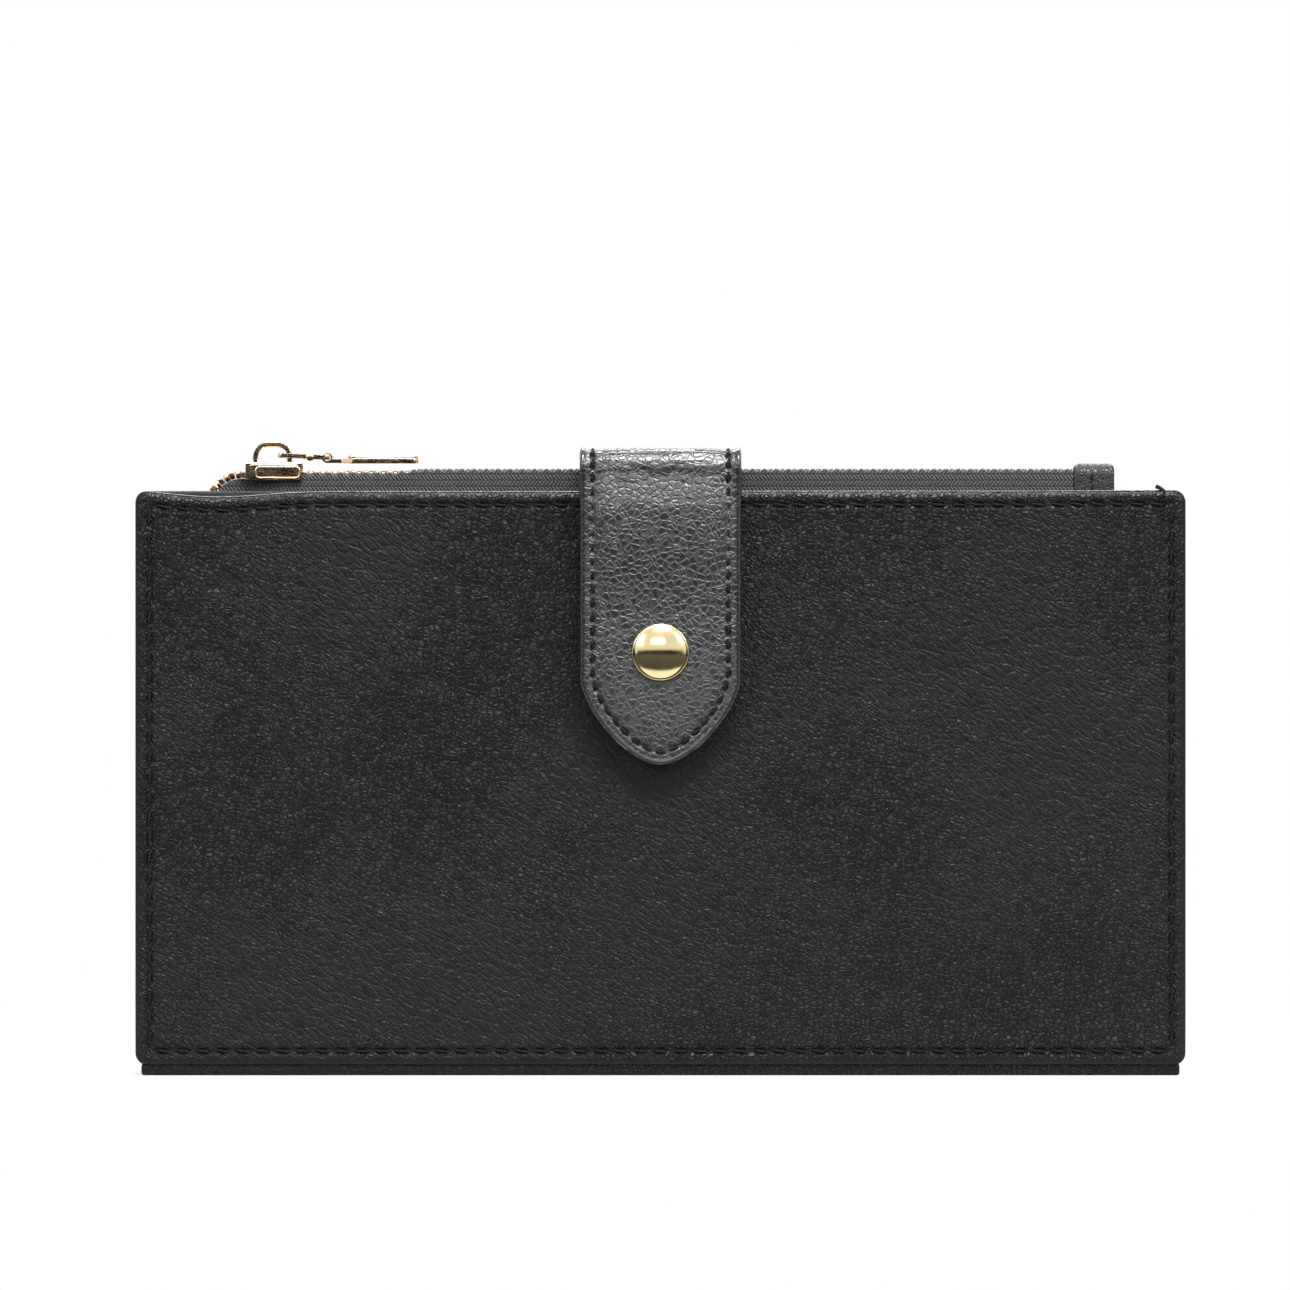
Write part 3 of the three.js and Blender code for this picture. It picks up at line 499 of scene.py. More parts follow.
def grid_quads(rows, columns, start=0):
    index = np.arange(rows * columns).reshape(rows, columns) + start
    return np.stack(
        [index[:-1, :-1], index[1:, :-1], index[1:, 1:], index[:-1, 1:]], axis=-1
    ).reshape(-1, 4)


def outline_of(rows, columns):
    """The grid's outer points in order round it."""
    index = np.arange(rows * columns).reshape(rows, columns)
    return np.concatenate([index[:-1, 0], index[-1, :-1], index[:0:-1, -1], index[0, :0:-1]])


def band(first, second):
    """Quads between two rings of the same length."""
    return np.stack([first, np.roll(first, -1), np.roll(second, -1), second], axis=-1)


def shell_faces(rows, columns):
    """The faces of two grids one over the other, joined round their outline."""
    count = rows * columns
    ring = outline_of(rows, columns)
    return [
        *grid_quads(rows, columns).tolist(),
        *grid_quads(rows, columns, count).tolist(),
        *band(ring, ring + count).tolist(),
    ]


def ring_faces(start, rings, count, ends=True):
    """Quads between rings of points that follow each other, with a face over each end."""
    faces = []
    for base in range(start, start + (rings - 1) * count, count):
        for s in range(count):
            t = (s + 1) % count
            faces.append((base + s, base + t, base + count + t, base + count + s))
    if ends:
        last = start + (rings - 1) * count
        faces.append(tuple(range(start, start + count)))
        faces.append(tuple(range(last + count - 1, last - 1, -1)))
    return faces


def graded(half, edge, step):
    """Places from -half to half, closer together near the ends."""
    inner = half - edge[-1]
    middle = np.linspace(-inner, inner, max(2, round(2 * inner / step)) + 1)
    near = half - np.array(edge[:-1])
    return np.concatenate([-near, middle, near[::-1]])


FINE_EDGE = (
    0, 0.05, 0.15, 0.3, 0.5, 0.8, 1.15, 1.5, 1.85, 2.15, 2.4, 2.65, 2.9, 3.1, 3.35, 3.6, 3.9)
PLAIN_EDGE = (0, 0.06, 0.16, 0.3, 0.6, 1.0, 1.5, 2.1, 2.6, 3.2)


def edge_fall(inside, rounding):
    """How far a rounded edge lies below the face, at a distance in from the edge."""
    short = np.maximum(rounding - inside, 0)
    return rounding - np.sqrt(np.maximum(rounding**2 - short**2, 0))


def slab(low, high, corner, outward, rounding, relief, edge=PLAIN_EDGE, step=2.0, lift=None):
    """A flat piece facing Y with rounded corners and edges. relief gives how far its outer face
    stands out at x, z and the distance in from the edge; lift moves points along Z."""
    half = (high[0] - low[0]) / 2
    tall = (high[2] - low[2]) / 2
    middle_x, middle_z = (high[0] + low[0]) / 2, (high[2] + low[2]) / 2
    x, z = np.meshgrid(graded(half, edge, step), graded(tall, edge, step), indexing="ij")
    a, b = (np.abs(x) - half + corner) / corner, (np.abs(z) - tall + corner) / corner
    both = (a > 0) & (b > 0)
    a, b = np.where(both, a, 0), np.where(both, b, 0)
    x = np.where(both, np.sign(x) * (half - corner + corner * a * np.sqrt(1 - b * b / 2)), x)
    z = np.where(both, np.sign(z) * (tall - corner + corner * b * np.sqrt(1 - a * a / 2)), z)
    p, q = np.abs(x) - half + corner, np.abs(z) - tall + corner
    inside = corner - np.hypot(np.maximum(p, 0), np.maximum(q, 0)) - np.minimum(np.maximum(p, q), 0)
    inside = np.maximum(inside, 0)
    fall = edge_fall(inside, rounding)
    outer = high[1] if outward > 0 else low[1]
    inner = low[1] if outward > 0 else high[1]
    world_x, world_z = x + middle_x, z + middle_z
    raised = relief(world_x, world_z, inside) * smooth(inside, 0, rounding)
    y = outer + outward * (raised - fall)
    if lift is not None:
        world_z = world_z + lift(world_x, world_z)
    points = np.stack([world_x, y, world_z], axis=-1).reshape(-1, 3)
    rows, columns = x.shape
    rim = outline_of(rows, columns)
    back_round = min(rounding, 0.45 * abs(outer - inner)) * 0.7
    side = points[rim].copy()
    side[:, 1] = inner + outward * back_round
    closing = side.copy()
    closing[:, 1] = inner
    closing[:, 0] = middle_x + (closing[:, 0] - middle_x) * (half - back_round) / half
    closing[:, 2] = middle_z + (closing[:, 2] - middle_z) * (tall - back_round) / tall
    side_ring = np.arange(len(rim)) + len(points)
    closing_ring = side_ring + len(rim)
    faces = [
        *grid_quads(rows, columns).tolist(),
        *band(rim, side_ring).tolist(),
        *band(side_ring, closing_ring).tolist(),
        closing_ring.tolist(),
    ]
    return np.concatenate([points, side, closing]), faces, inside.reshape(-1)


def along(points, pitch):
    """Even places along a polyline, with the direction there."""
    points = np.asarray(points, float)
    steps = np.linalg.norm(np.diff(points, axis=0), axis=1)
    total = np.concatenate([[0], np.cumsum(steps)])
    count = max(1, round(total[-1] / pitch))
    at = (np.arange(count) + 0.5) * total[-1] / count
    place = np.stack([np.interp(at, total, points[:, k]) for k in range(3)], axis=-1)
    ahead = np.stack([np.interp(at + 0.05, total, points[:, k]) for k in range(3)], axis=-1)
    behind = np.stack([np.interp(at - 0.05, total, points[:, k]) for k in range(3)], axis=-1)
    return place, unit(ahead - behind)


STITCH_SECTION = 7
# Along the stitch, thickness and rise of each ring of its thread
STITCH_RINGS = ((-0.5, 0.25, -1.0), (-0.42, 0.7, -0.35), (-0.2, 1.0, 0.12), (0.0, 1.02, 0.2),
                (0.2, 1.0, 0.12), (0.42, 0.7, -0.35), (0.5, 0.25, -1.0))


def stitches(runs, pitch, thread, slant=0.12, share=0.8, sunk=0.0):
    """Points and faces of the stitches along each run of (polyline, outward direction). Each
    stitch is a short thread whose two ends dive into the leather."""
    points, faces = [], []
    radius = thread / 2
    turns = np.arange(STITCH_SECTION) * TAU / STITCH_SECTION
    for line, out in runs:
        place, direction = along(line, pitch)
        out = np.broadcast_to(np.asarray(out, float), place.shape)
        across = unit(np.cross(direction, out))
        for k in range(len(place)):
            lean = slant * (1 + 0.35 * math.sin(12.9898 * k))
            forward = unit(direction[k] + lean * across[k])
            side = np.cross(forward, out[k])
            faces += ring_faces(len(points), len(STITCH_RINGS), STITCH_SECTION)
            for far, thick, rise in STITCH_RINGS:
                middle = place[k] + forward * far * pitch * share + out[k] * (rise * radius - sunk)
                for turn in turns:
                    around = math.cos(turn) * side + 0.85 * math.sin(turn) * out[k]
                    points.append(middle + radius * thick * around)
    return points, faces


def sew(name, runs, pitch, body, slot, **how):
    points, faces = stitches(runs, pitch, sizes().thread / MM, **how)
    return make(name, points, faces, "sewing_thread", body)


def tube(line, radius, section=10, closed=False):
    """Points and faces of a round tube along a polyline."""
    line = np.asarray(line, float)
    ahead, behind = np.roll(line, -1, axis=0), np.roll(line, 1, axis=0)
    if not closed:
        ahead[-1], behind[0] = line[-1], line[0]
    direction = unit(ahead - behind)
    normal = np.cross(direction[0], (0.3, 0.5, 0.81))
    points = []
    radius = np.broadcast_to(radius, len(line))
    for k, place in enumerate(line):
        normal = unit(normal - direction[k] * normal.dot(direction[k]))
        other = np.cross(direction[k], normal)
        for s in range(section):
            turn = s * TAU / section
            points.append(place + radius[k] * (math.cos(turn) * normal + math.sin(turn) * other))
    faces = ring_faces(0, len(line), section, ends=not closed)
    if closed:
        last, first = np.arange(section) + len(points) - section, np.arange(section)
        faces += band(last, first).tolist()
    return points, faces


def lathe(profile, x, z, segments=96):
    """Points and faces of a piece turned round an axis along Y. Its profile is [radius, y] pairs
    that start and end on the axis."""
    points = [(x, profile[0][1], z)]
    rings = profile[1:-1]
    for radius, y in rings:
        for s in range(segments):
            turn = s * TAU / segments
            points.append((x + radius * math.cos(turn), y, z + radius * math.sin(turn)))
    points.append((x, profile[-1][1], z))
    last = len(points) - 1
    faces = []
    for s in range(segments):
        t = (s + 1) % segments
        faces.append((0, 1 + t, 1 + s))
        for k in range(len(rings) - 1):
            a = 1 + k * segments
            faces.append((a + s, a + t, a + segments + t, a + segments + s))
        end = 1 + (len(rings) - 1) * segments
        faces.append((end + s, end + t, last))
    return points, faces


SHARP_DEGREES = 28.0  # an edge that turns more than this is rounded


def weighted_normals(piece):
    piece.modifiers.new("weighted_normals", "WEIGHTED_NORMAL").keep_sharp = True


def rounded_copy(name, node, width, finish, body, segments=3):
    """A copy of a solid with its sharp edges rounded, which stands for it."""
    shape = bmesh.new()
    shape.from_mesh(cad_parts[node].data)
    bmesh.ops.remove_doubles(shape, verts=shape.verts, dist=0.002 * MM)
    bmesh.ops.dissolve_limit(
        shape, angle_limit=math.radians(1.0), verts=shape.verts, edges=shape.edges)
    sharp = [
        edge for edge in shape.edges
        if len(edge.link_faces) == 2 and edge.calc_face_angle(0) > math.radians(SHARP_DEGREES)]
    bmesh.ops.bevel(
        shape, geom=sharp, offset=width * MM, offset_type="OFFSET", segments=segments,
        profile=0.5, affect="EDGES", clamp_overlap=True)
    bmesh.ops.recalc_face_normals(shape, faces=shape.faces)
    mesh = bpy.data.meshes.new(name)
    shape.to_mesh(mesh)
    shape.free()
    mesh.shade_smooth()
    mesh.materials.append(material(finish))
    piece = bpy.data.objects.new(name, mesh)
    bpy.context.scene.collection.objects.link(piece)
    weighted_normals(piece)
    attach(piece, body)
    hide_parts(node)
    return piece


# ---- Covers -------------------------------------------------------------------------------

COVER_CORNER = 2.2
COVER_ROUNDING = 0.75
STITCH_INSET = 2.55
HEM_STITCH_DEPTH = 0.1  # of a stitch's middle line under the cover's face
FRONT_STEP = 0.5
BACK_STEP = 0.8


def hem_pull(x, z, pitch):
    """The pull of the needle holes at a place on a cover's hem, along its nearest edge."""
    sides = np.abs(x) - HALF_WIDTH > np.abs(z - (COVER_TOP + COVER_BOTTOM) / 2) - (
        COVER_TOP - COVER_BOTTOM) / 2
    return pulls(np.where(sides, z, x), pitch)


def hem_relief(x, z, inside, pitch):
    """The turned hem: a soft roll at the edge, the row of stitches pulled down, and a pucker
    beside each stitch."""
    pull = hem_pull(x, z, pitch)
    groove = bell(inside, STITCH_INSET, 0.55)
    roll = 0.1 * bell(inside, 1.3, 0.7)
    shoulder = 0.1 * bell(inside, STITCH_INSET + 1.6, 1.0)
    pucker = 0.2 * bell(inside, STITCH_INSET + 0.95, 0.32) * pull**2
    return roll + shoulder + pucker - groove * (0.2 + 0.26 * pull)


def cover_relief(seed, pitch):
    """The hem, slow swells, drawn wrinkles on one side, and a slight bow over the whole cover."""
    def relief(x, z, inside):
        body = smooth(inside, 2.6, 9)
        swell = 0.28 * layered(x / 42, z / 36, seed, 2) + 0.08 * layered(x / 11, z / 9, seed + 5, 2)
        wandering = x / 8.5 + 0.8 * noise(x / 20, z / 20, seed)
        drawn = 1 - np.abs(layered(wandering, z / 5.5, seed + 11, 3))
        creased = smooth(noise(x / 34 + 3, z / 30, seed + 23) - x / 160 + z / 260, 0.1, 0.9)
        wrinkles = 0.16 * creased * np.clip(drawn, -0.4, 1) ** 3
        bow = 0.14 * smooth(inside, 4, 40)
        return hem_relief(x, z, inside, pitch) + body * (swell + wrinkles) + bow
    return relief


def top_edge_wave(x, z):
    """The top edge dips where the zip turns down, and its left corner stands up a little."""
    near_top = smooth(z, COVER_TOP - 26, COVER_TOP)
    wave = -1.0 * bell(x, -HALF_WIDTH + 15, 11) + 0.25 * bell(x, -HALF_WIDTH, 6)
    return near_top * (wave + 0.18 * noise(x / 30, z / 60, 4))


def hem_runs(low, high, outer, out, lift):
    """The four rows of stitches round a cover."""
    left, right = low[0] + STITCH_INSET, high[0] - STITCH_INSET
    bottom, top = low[2] + STITCH_INSET, high[2] - STITCH_INSET
    corners = [(left, bottom), (right, bottom), (right, top), (left, top), (left, bottom)]
    runs = []
    for (x0, z0), (x1, z1) in zip(corners[:-1], corners[1:]):
        t = np.linspace(0.004, 0.996, 120)
        x, z = x0 + (x1 - x0) * t, z0 + (z1 - z0) * t
        if lift is not None:
            z = z + lift(x, z)
        y = np.full_like(x, outer - out * HEM_STITCH_DEPTH)
        runs.append((np.stack([x, y, z], axis=-1), (0, out, 0)))
    return runs


def build_covers():
    pitch = sizes().cover_stitch / MM
    front_inner = box_mm("front_cover_lining")[0][1] - 0.05
    back_inner = box_mm("coin_lining_rear")[1][1] + 0.05
    for side, out, low, high, inner, seed, step, lift in (
            ("front", -1, FRONT_LOW, FRONT_HIGH, front_inner, 3, FRONT_STEP, top_edge_wave),
            ("back", 1, BACK_LOW, BACK_HIGH, back_inner, 17, BACK_STEP, None)):
        body = "front_half" if out < 0 else "rear_half"
        outer = low[1] if out < 0 else high[1]
        near, far = low.copy(), high.copy()
        near[1], far[1] = min(outer, inner), max(outer, inner)
        points, faces, inside = slab(
            near, far, COVER_CORNER, out, COVER_ROUNDING, cover_relief(seed, pitch), FINE_EDGE,
            step, lift)
        face = points[: len(inside)]
        # holes marks the needle holes, which the leather paints near black as shade.
        holes = bell(inside, STITCH_INSET, 0.34) * hem_pull(face[:, 0], face[:, 2], pitch) ** 2
        make(f"{side}_cover", points, faces, "cover_cowhide", body,
             (f"{side}_cover_leather", f"{side}_cover_board"), 1 - smooth(inside, 0.3, 1.5),
             holes=holes)
        sew(f"{side}_cover_stitching", hem_runs(low, high, outer, out, lift), pitch, body,
            "grain_leather")


BAR_TACK_X = 90.6


def build_bar_tack():
    """The dense end of the sewing at the front cover's top right corner, and its thread end."""
    face = FRONT_LOW[1]
    top = COVER_TOP
    line = [(BAR_TACK_X, face - 0.05, top - 5.4), (BAR_TACK_X + 0.25, face - 0.05, top - 0.7)]
    tack = [(line, (0, -1, 0))]
    points, faces = stitches(tack, 0.85, sizes().thread / MM, slant=0.9, share=1.5)
    t = np.linspace(0, 1, 14)
    end = np.stack([
        BAR_TACK_X + 0.35 - 0.9 * t + 0.5 * np.sin(4 * t),
        face - 0.1 + 0.9 * t,
        top - 1.2 + 2.4 * t - 0.5 * t**3], axis=-1)
    more, more_faces = tube(end, 0.26 + 0.14 * t, 10)
    faces += [tuple(len(points) + i for i in corners) for corners in more_faces]
    make("front_cover_bar_tack", points + more, faces, "sewing_thread", "front_half")


# ---- Spine --------------------------------------------------------------------------------

SPINE_TUCK = 0.5
SPINE_CORNER = 1.3  # radius of the spine's corner under a cover


def spine_half(name, side, replaces):
    """Half of the spine's leather, from its middle line under one cover and up into its hem."""
    low, high = box_mm("spine_leather")
    edge = high[1]
    thickness = high[2] - low[2]
    radius = SPINE_CORNER
    path = [(y, 0.0) for y in np.linspace(0, edge - radius, 14)]
    path += [
        (edge - radius + radius * math.sin(a), radius - radius * math.cos(a))
        for a in np.linspace(0.2, math.pi / 2, 8)]
    path.append((edge, COVER_BOTTOM + SPINE_TUCK))
    path = np.array(path)
    direction = unit(np.gradient(path, axis=0))
    inner = path + np.stack([-direction[:, 1], direction[:, 0]], axis=-1) * thickness
    inner[-1, 1] = path[-1, 1]
    section = np.concatenate([path, inner[::-1]])
    section = section * (side, 1) + (0, low[2])
    x = np.concatenate([[low[0], low[0] + 0.15], np.linspace(low[0] + 0.5, high[0] - 0.5, 150),
                        [high[0] - 0.15, high[0]]])
    squeeze = np.interp(np.minimum(x - low[0], high[0] - x), [0, 0.15, 0.5], [0.55, 0.85, 1.0])
    middle = section.mean(axis=0)
    points = []
    for k, place in enumerate(x):
        ring = middle + (section - middle) * (1, squeeze[k])
        ring[:, 1] = np.maximum(ring[:, 1], low[2])
        sag = 0.06 * noise(np.full(len(ring), place / 9), ring[:, 0] / 4, 5)
        points += [(place, y, max(z + s * (z > 0.5), low[2])) for (y, z), s in zip(ring, sag)]
    faces = ring_faces(0, len(x), len(section))
    piece = make(name, points, faces, "cover_cowhide", None, replaces)
    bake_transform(piece)


def build_spine():
    spine_half("spine_front_leather", -1, ("spine_leather",))
    spine_half("spine_rear_leather", 1, ())
    low, high = box_mm("spine_lining")
    x, y = np.meshgrid(np.linspace(low[0], high[0], 160), np.linspace(low[1], high[1], 20),
                       indexing="ij")
    crown = (high[2] - low[2]) * 0.5 * (1 - (y / high[1]) ** 4) + 0.05 * noise(x / 7, y / 3, 8)
    top = np.stack([x, y, low[2] + 0.2 + crown], axis=-1).reshape(-1, 3)
    under = np.stack([x, y, np.full_like(x, low[2] + 0.02)], axis=-1).reshape(-1, 3)
    lining = make(
        "spine_inner_lining", np.concatenate([top, under]), shell_faces(*x.shape), "nylon_lining",
        "spine", ("spine_lining",))


# ---- Inside panels ------------------------------------------------------------------------

PANEL_CORNER = 1.5
CREASE_DROP = 2.0


def panel_relief(seed, top):
    """Thin leather: a pressed crease line under its top edge, and slow waves."""
    def relief(x, z, inside):
        crease = -0.12 * bell(z, top - CREASE_DROP, 0.3) * smooth(inside, 0.6, 1.6)
        return crease + 0.06 * layered(x / 28, z / 22, seed, 2) * smooth(inside, 1, 6)
    return relief


def inner_panel(name, node, outward, body, seed, finish="slot_calf"):
    low, high = box_mm(node)
    thickness = high[1] - low[1]
    points, faces, inside = slab(
        low, high, PANEL_CORNER, outward, 0.4 * thickness, panel_relief(seed, high[2]),
        PLAIN_EDGE, 1.6)
    return make(name, points, faces, finish, body, (node,),
                1 - smooth(inside, 0.2, 0.9))


def card_column_runs(low, high, outer, out):
    """The stitches that hold a slot panel: down its middle, down both sides and along its foot."""
    y = outer - out * 0.02
    foot, top = low[2] + 1.6, high[2] - 1.2
    left, right = low[0] + 1.6, high[0] - 1.6
    lines = [((0, top), (0, foot)), ((left, top), (left, foot)), ((right, top), (right, foot)),
             ((left, foot), (right, foot))]
    return [([(a[0], y, a[1]), (b[0], y, b[1])], (0, out, 0)) for a, b in lines]


def build_card_slots():
    inner_panel("bill_pocket_wall_leather", "bill_pocket_wall", 1, "front_half", 31)
    for side, count, body, out in (("front", 4, "front_half", 1), ("rear", 3, "rear_half", -1)):
        for k in range(1, count + 1):
            node = f"{side}_card_slot_{k}"
            inner_panel(f"{node}_leather", node, out, body, 40 + k)
        low, high = box_mm(f"{side}_card_slot_{count}")
        outer = high[1] if out > 0 else low[1]
        sew(f"{side}_card_slot_stitching", card_column_runs(low, high, outer, out),
            sizes().strap_stitch / MM, body, "slot_leather", sunk=0.04)


def lining_sheet(name, node, outward, body, seed):
    piece = inner_panel(name, node, outward, body, seed, "nylon_lining")


def build_linings():
    lining_sheet("front_cover_inner_lining", "front_cover_lining", 1, "front_half", 51)
    lining_sheet("coin_pocket_front_lining", "coin_lining_front", 1, "rear_half", 52)
    lining_sheet("coin_pocket_rear_lining", "coin_lining_rear", -1, "rear_half", 53)


def pleated(name, node, axis, body):
    """A strip of lining folded along its middle, as a gusset is."""
    low, high = box_mm(node)
    long_axis = 2 if axis == 0 else 0
    a = np.linspace(low[long_axis], high[long_axis], 90)
    b = np.linspace(low[1] + 0.02, high[1] - 0.02, 13)
    first, second = np.meshgrid(a, b, indexing="ij")
    size = high[axis] - low[axis]
    fold = np.abs(second - (low[1] + high[1]) / 2) / ((high[1] - low[1]) / 2)
    wave = 0.1 * noise(first / 6, second / 2, 61) * size
    near = low[axis] + 0.05 + (size * 0.55) * fold + wave * fold * (1 - fold)
    layers = []
    for level in (near, near + 0.3 * size):
        grid = np.zeros((*first.shape, 3))
        grid[..., long_axis] = first
        grid[..., 1] = second
        grid[..., axis] = level
        layers.append(grid.reshape(-1, 3))
    make(name, np.concatenate(layers), shell_faces(*first.shape), "nylon_lining", body,
         (node,))


def build_coin_pocket():
    inner_panel("coin_pocket_wall_leather", "coin_pocket_wall", -1, "rear_half", 33)
    pleated("coin_pocket_floor", "coin_pocket_base", 2, "rear_half")
    pleated("coin_pocket_left_gusset", "coin_gusset_left", 0, "rear_half")
    pleated("coin_pocket_right_gusset", "coin_gusset_right", 0, "rear_half")


# ---- Zip ----------------------------------------------------------------------------------

TOOTH_PITCH = 2.2
CHAIN_RIGHT = TEETH_HIGH[0]
CHAIN_BEND_RADIUS = 6.0
CHAIN_BEND_X = -HALF_WIDTH + 18.8
TEETH_BOTTOM = TAPE_HIGH[2] + 0.1
TEETH_TOP = TEETH_HIGH[2]
BEND_Z = (TEETH_BOTTOM + TEETH_TOP) / 2 - CHAIN_BEND_RADIUS
CHAIN_TEETH = 71
ROW_PARTING = 1.2
SLIDER_LEFT = SLIDER_LOW[0]
SLIDER_WEDGE = 7.6
CHAIN_CLOSE = 3.0
BEAD_UNCOVERED_X = -46.0
TAPE_ROLL = 0.42  # radius of a tape's upper edge
TAPE_COLUMN = 0.275


def parting(x):
    wedge = (SLIDER_LEFT + SLIDER_WEDGE - x) / SLIDER_WEDGE
    beyond = (x - CHAIN_BEND_X + CHAIN_CLOSE) / (SLIDER_LEFT - CHAIN_BEND_X + CHAIN_CLOSE)
    return ROW_PARTING * np.clip(np.minimum(wedge, beyond), 0, 1)


def on_chain(x, y, z):
    """Turns points laid out along a straight chain round its bend at the left end."""
    past = np.maximum(CHAIN_BEND_X - x, 0)
    angle = past / CHAIN_BEND_RADIUS
    radius = z - BEND_Z
    return np.stack(
        [np.where(past > 0, CHAIN_BEND_X - radius * np.sin(angle), x), y,
         np.where(past > 0, BEND_Z + radius * np.cos(angle), z)], axis=-1)


# A tooth seen from above: [along the chain, out from its middle]
TOOTH_OUTLINE = (
    (-0.3, -0.46), (0.3, -0.46), (0.44, -0.2), (0.36, 0.2), (0.36, 0.75), (0.52, 1.0),
    (0.52, 1.75), (0.38, 1.9), (-0.38, 1.9), (-0.52, 1.75), (-0.52, 1.0), (-0.36, 0.75),
    (-0.36, 0.2), (-0.44, -0.2))
TOOTH_LAYERS = ((0.04, 0.8), (0.16, 1.0), (1.16, 1.0), (1.3, 0.94), (1.38, 0.74))


def build_zip_teeth():
    outline = np.array(TOOTH_OUTLINE)
    centre = outline.mean(axis=0)
    count = len(outline)
    for side, row in ((-1, "front"), (1, "rear")):
        points, faces = [], []
        stagger = TOOTH_PITCH / 2 if side > 0 else 0
        for i in range(CHAIN_TEETH):
            x = CHAIN_RIGHT - TOOTH_PITCH / 2 - stagger - i * TOOTH_PITCH
            apart = float(parting(np.array(x)))
            start = len(points)
            for level, spread in TOOTH_LAYERS:
                shape = centre + (outline - centre) * spread
                placed = on_chain(
                    x + shape[:, 0], CHAIN_Y + side * (shape[:, 1] + apart),
                    np.full(count, TEETH_BOTTOM + level))
                points += placed.tolist()
            faces += ring_faces(start, len(TOOTH_LAYERS), count, ends=False)
            faces.append(tuple(range(start, start + count)))
            last = start + (len(TOOTH_LAYERS) - 1) * count
            faces.append(tuple(range(last, last + count)))
        piece = make(f"zip_{row}_teeth", points, faces, "tumbled_gold_plate", "rear_half",
                     (f"zip_teeth_{row}",))
        weighted_normals(piece)


def tape_top(x):
    """The height of a tape's upper edge, which turns down over its corner at the left."""
    radius = TAPE_HIGH[2] - BEND_Z
    turned = np.sqrt(np.maximum(radius**2 - np.minimum(x - CHAIN_BEND_X, 0) ** 2, 0))
    return BEND_Z + turned


def build_zip_tapes():
    for side, low, high, row in (
            (-1, TAPE_LOW, TAPE_HIGH, "front"), (1, REAR_TAPE_LOW, REAR_TAPE_HIGH, "rear")):
        outer = low[1] if side < 0 else high[1]
        x = np.unique(np.concatenate([
            CHAIN_BEND_X - (TAPE_HIGH[2] - BEND_Z) * np.sin(np.linspace(0, math.pi / 2, 26)),
            np.arange(CHAIN_BEND_X, high[0], TAPE_COLUMN), [high[0]]]))
        top = tape_top(x)
        thickness = high[1] - low[1]
        covered = smooth(x, BEAD_UNCOVERED_X - 3, BEAD_UNCOVERED_X + 3)
        bead = covered * (TEETH_TOP - TAPE_HIGH[2] - 0.18)
        phase = (x - CHAIN_RIGHT + (TOOTH_PITCH if side > 0 else TOOTH_PITCH / 2)) / TOOTH_PITCH
        hump = smooth(np.cos(TAU * phase), -0.15, 0.45)
        bead = bead + covered * 0.34 * hump + (1 - covered) * np.where(
            x < SLIDER_HIGH[0], 0.05, 0.82 + 0.4 * hump)
        lateral = 0.12 * noise(x / 17, x * 0, 71 + side)
        rows = []
        for share in np.linspace(0, 1, 22):
            z = low[2] + (top - low[2]) * share
            sway = lateral * bell(share, 0.5, 0.3) * 0.6
            rows.append((x, outer - side * (0.02 - sway), z))
        roll = np.minimum(TAPE_ROLL, bead * 0.8)
        for turn in np.linspace(0.0, 1.0, 6):
            angle = turn * math.pi / 2
            rows.append((x, outer - side * (0.02 + TAPE_ROLL * (1 - math.cos(angle))),
                         top + bead - roll * (1 - math.sin(angle))))
        rows.append((x, outer - side * (thickness - 0.03) * np.ones_like(x), top + bead * 0.5))
        for share in np.linspace(1, 0, 12):
            z = low[2] + (top - 0.25 - low[2]) * share
            rows.append((x, outer - side * (thickness - 0.02) * np.ones_like(x), z))
        grid = np.array([np.stack(np.broadcast_arrays(*row), axis=-1) for row in rows])
        count, width = grid.shape[:2]
        faces = grid_quads(count, width).tolist()
        index = np.arange(count * width).reshape(count, width)
        for k in range(width - 1):
            faces.append((index[-1, k], index[-1, k + 1], index[0, k + 1], index[0, k]))
        faces.append(index[:, 0].tolist())
        faces.append(index[::-1, -1].tolist())
        piece = make(f"zip_{row}_tape", grid.reshape(-1, 3), faces, "zip_tape_cloth", "rear_half",
                     (f"zip_tape_{row}",))


def build_zip_stops():
    for node in ("zip_top_stop_front", "zip_top_stop_rear", "zip_bottom_stop"):
        rounded_copy(f"{node}_metal", node, 0.25, "tumbled_gold_plate", "rear_half")


TAB_WALL = 0.8
TAB_CORNER = 0.8
TAB_ROUNDING = 0.35
TAB_PUFF = 0.14
TAB_STITCH_X = 3.3
TAB_STITCH = 2.2


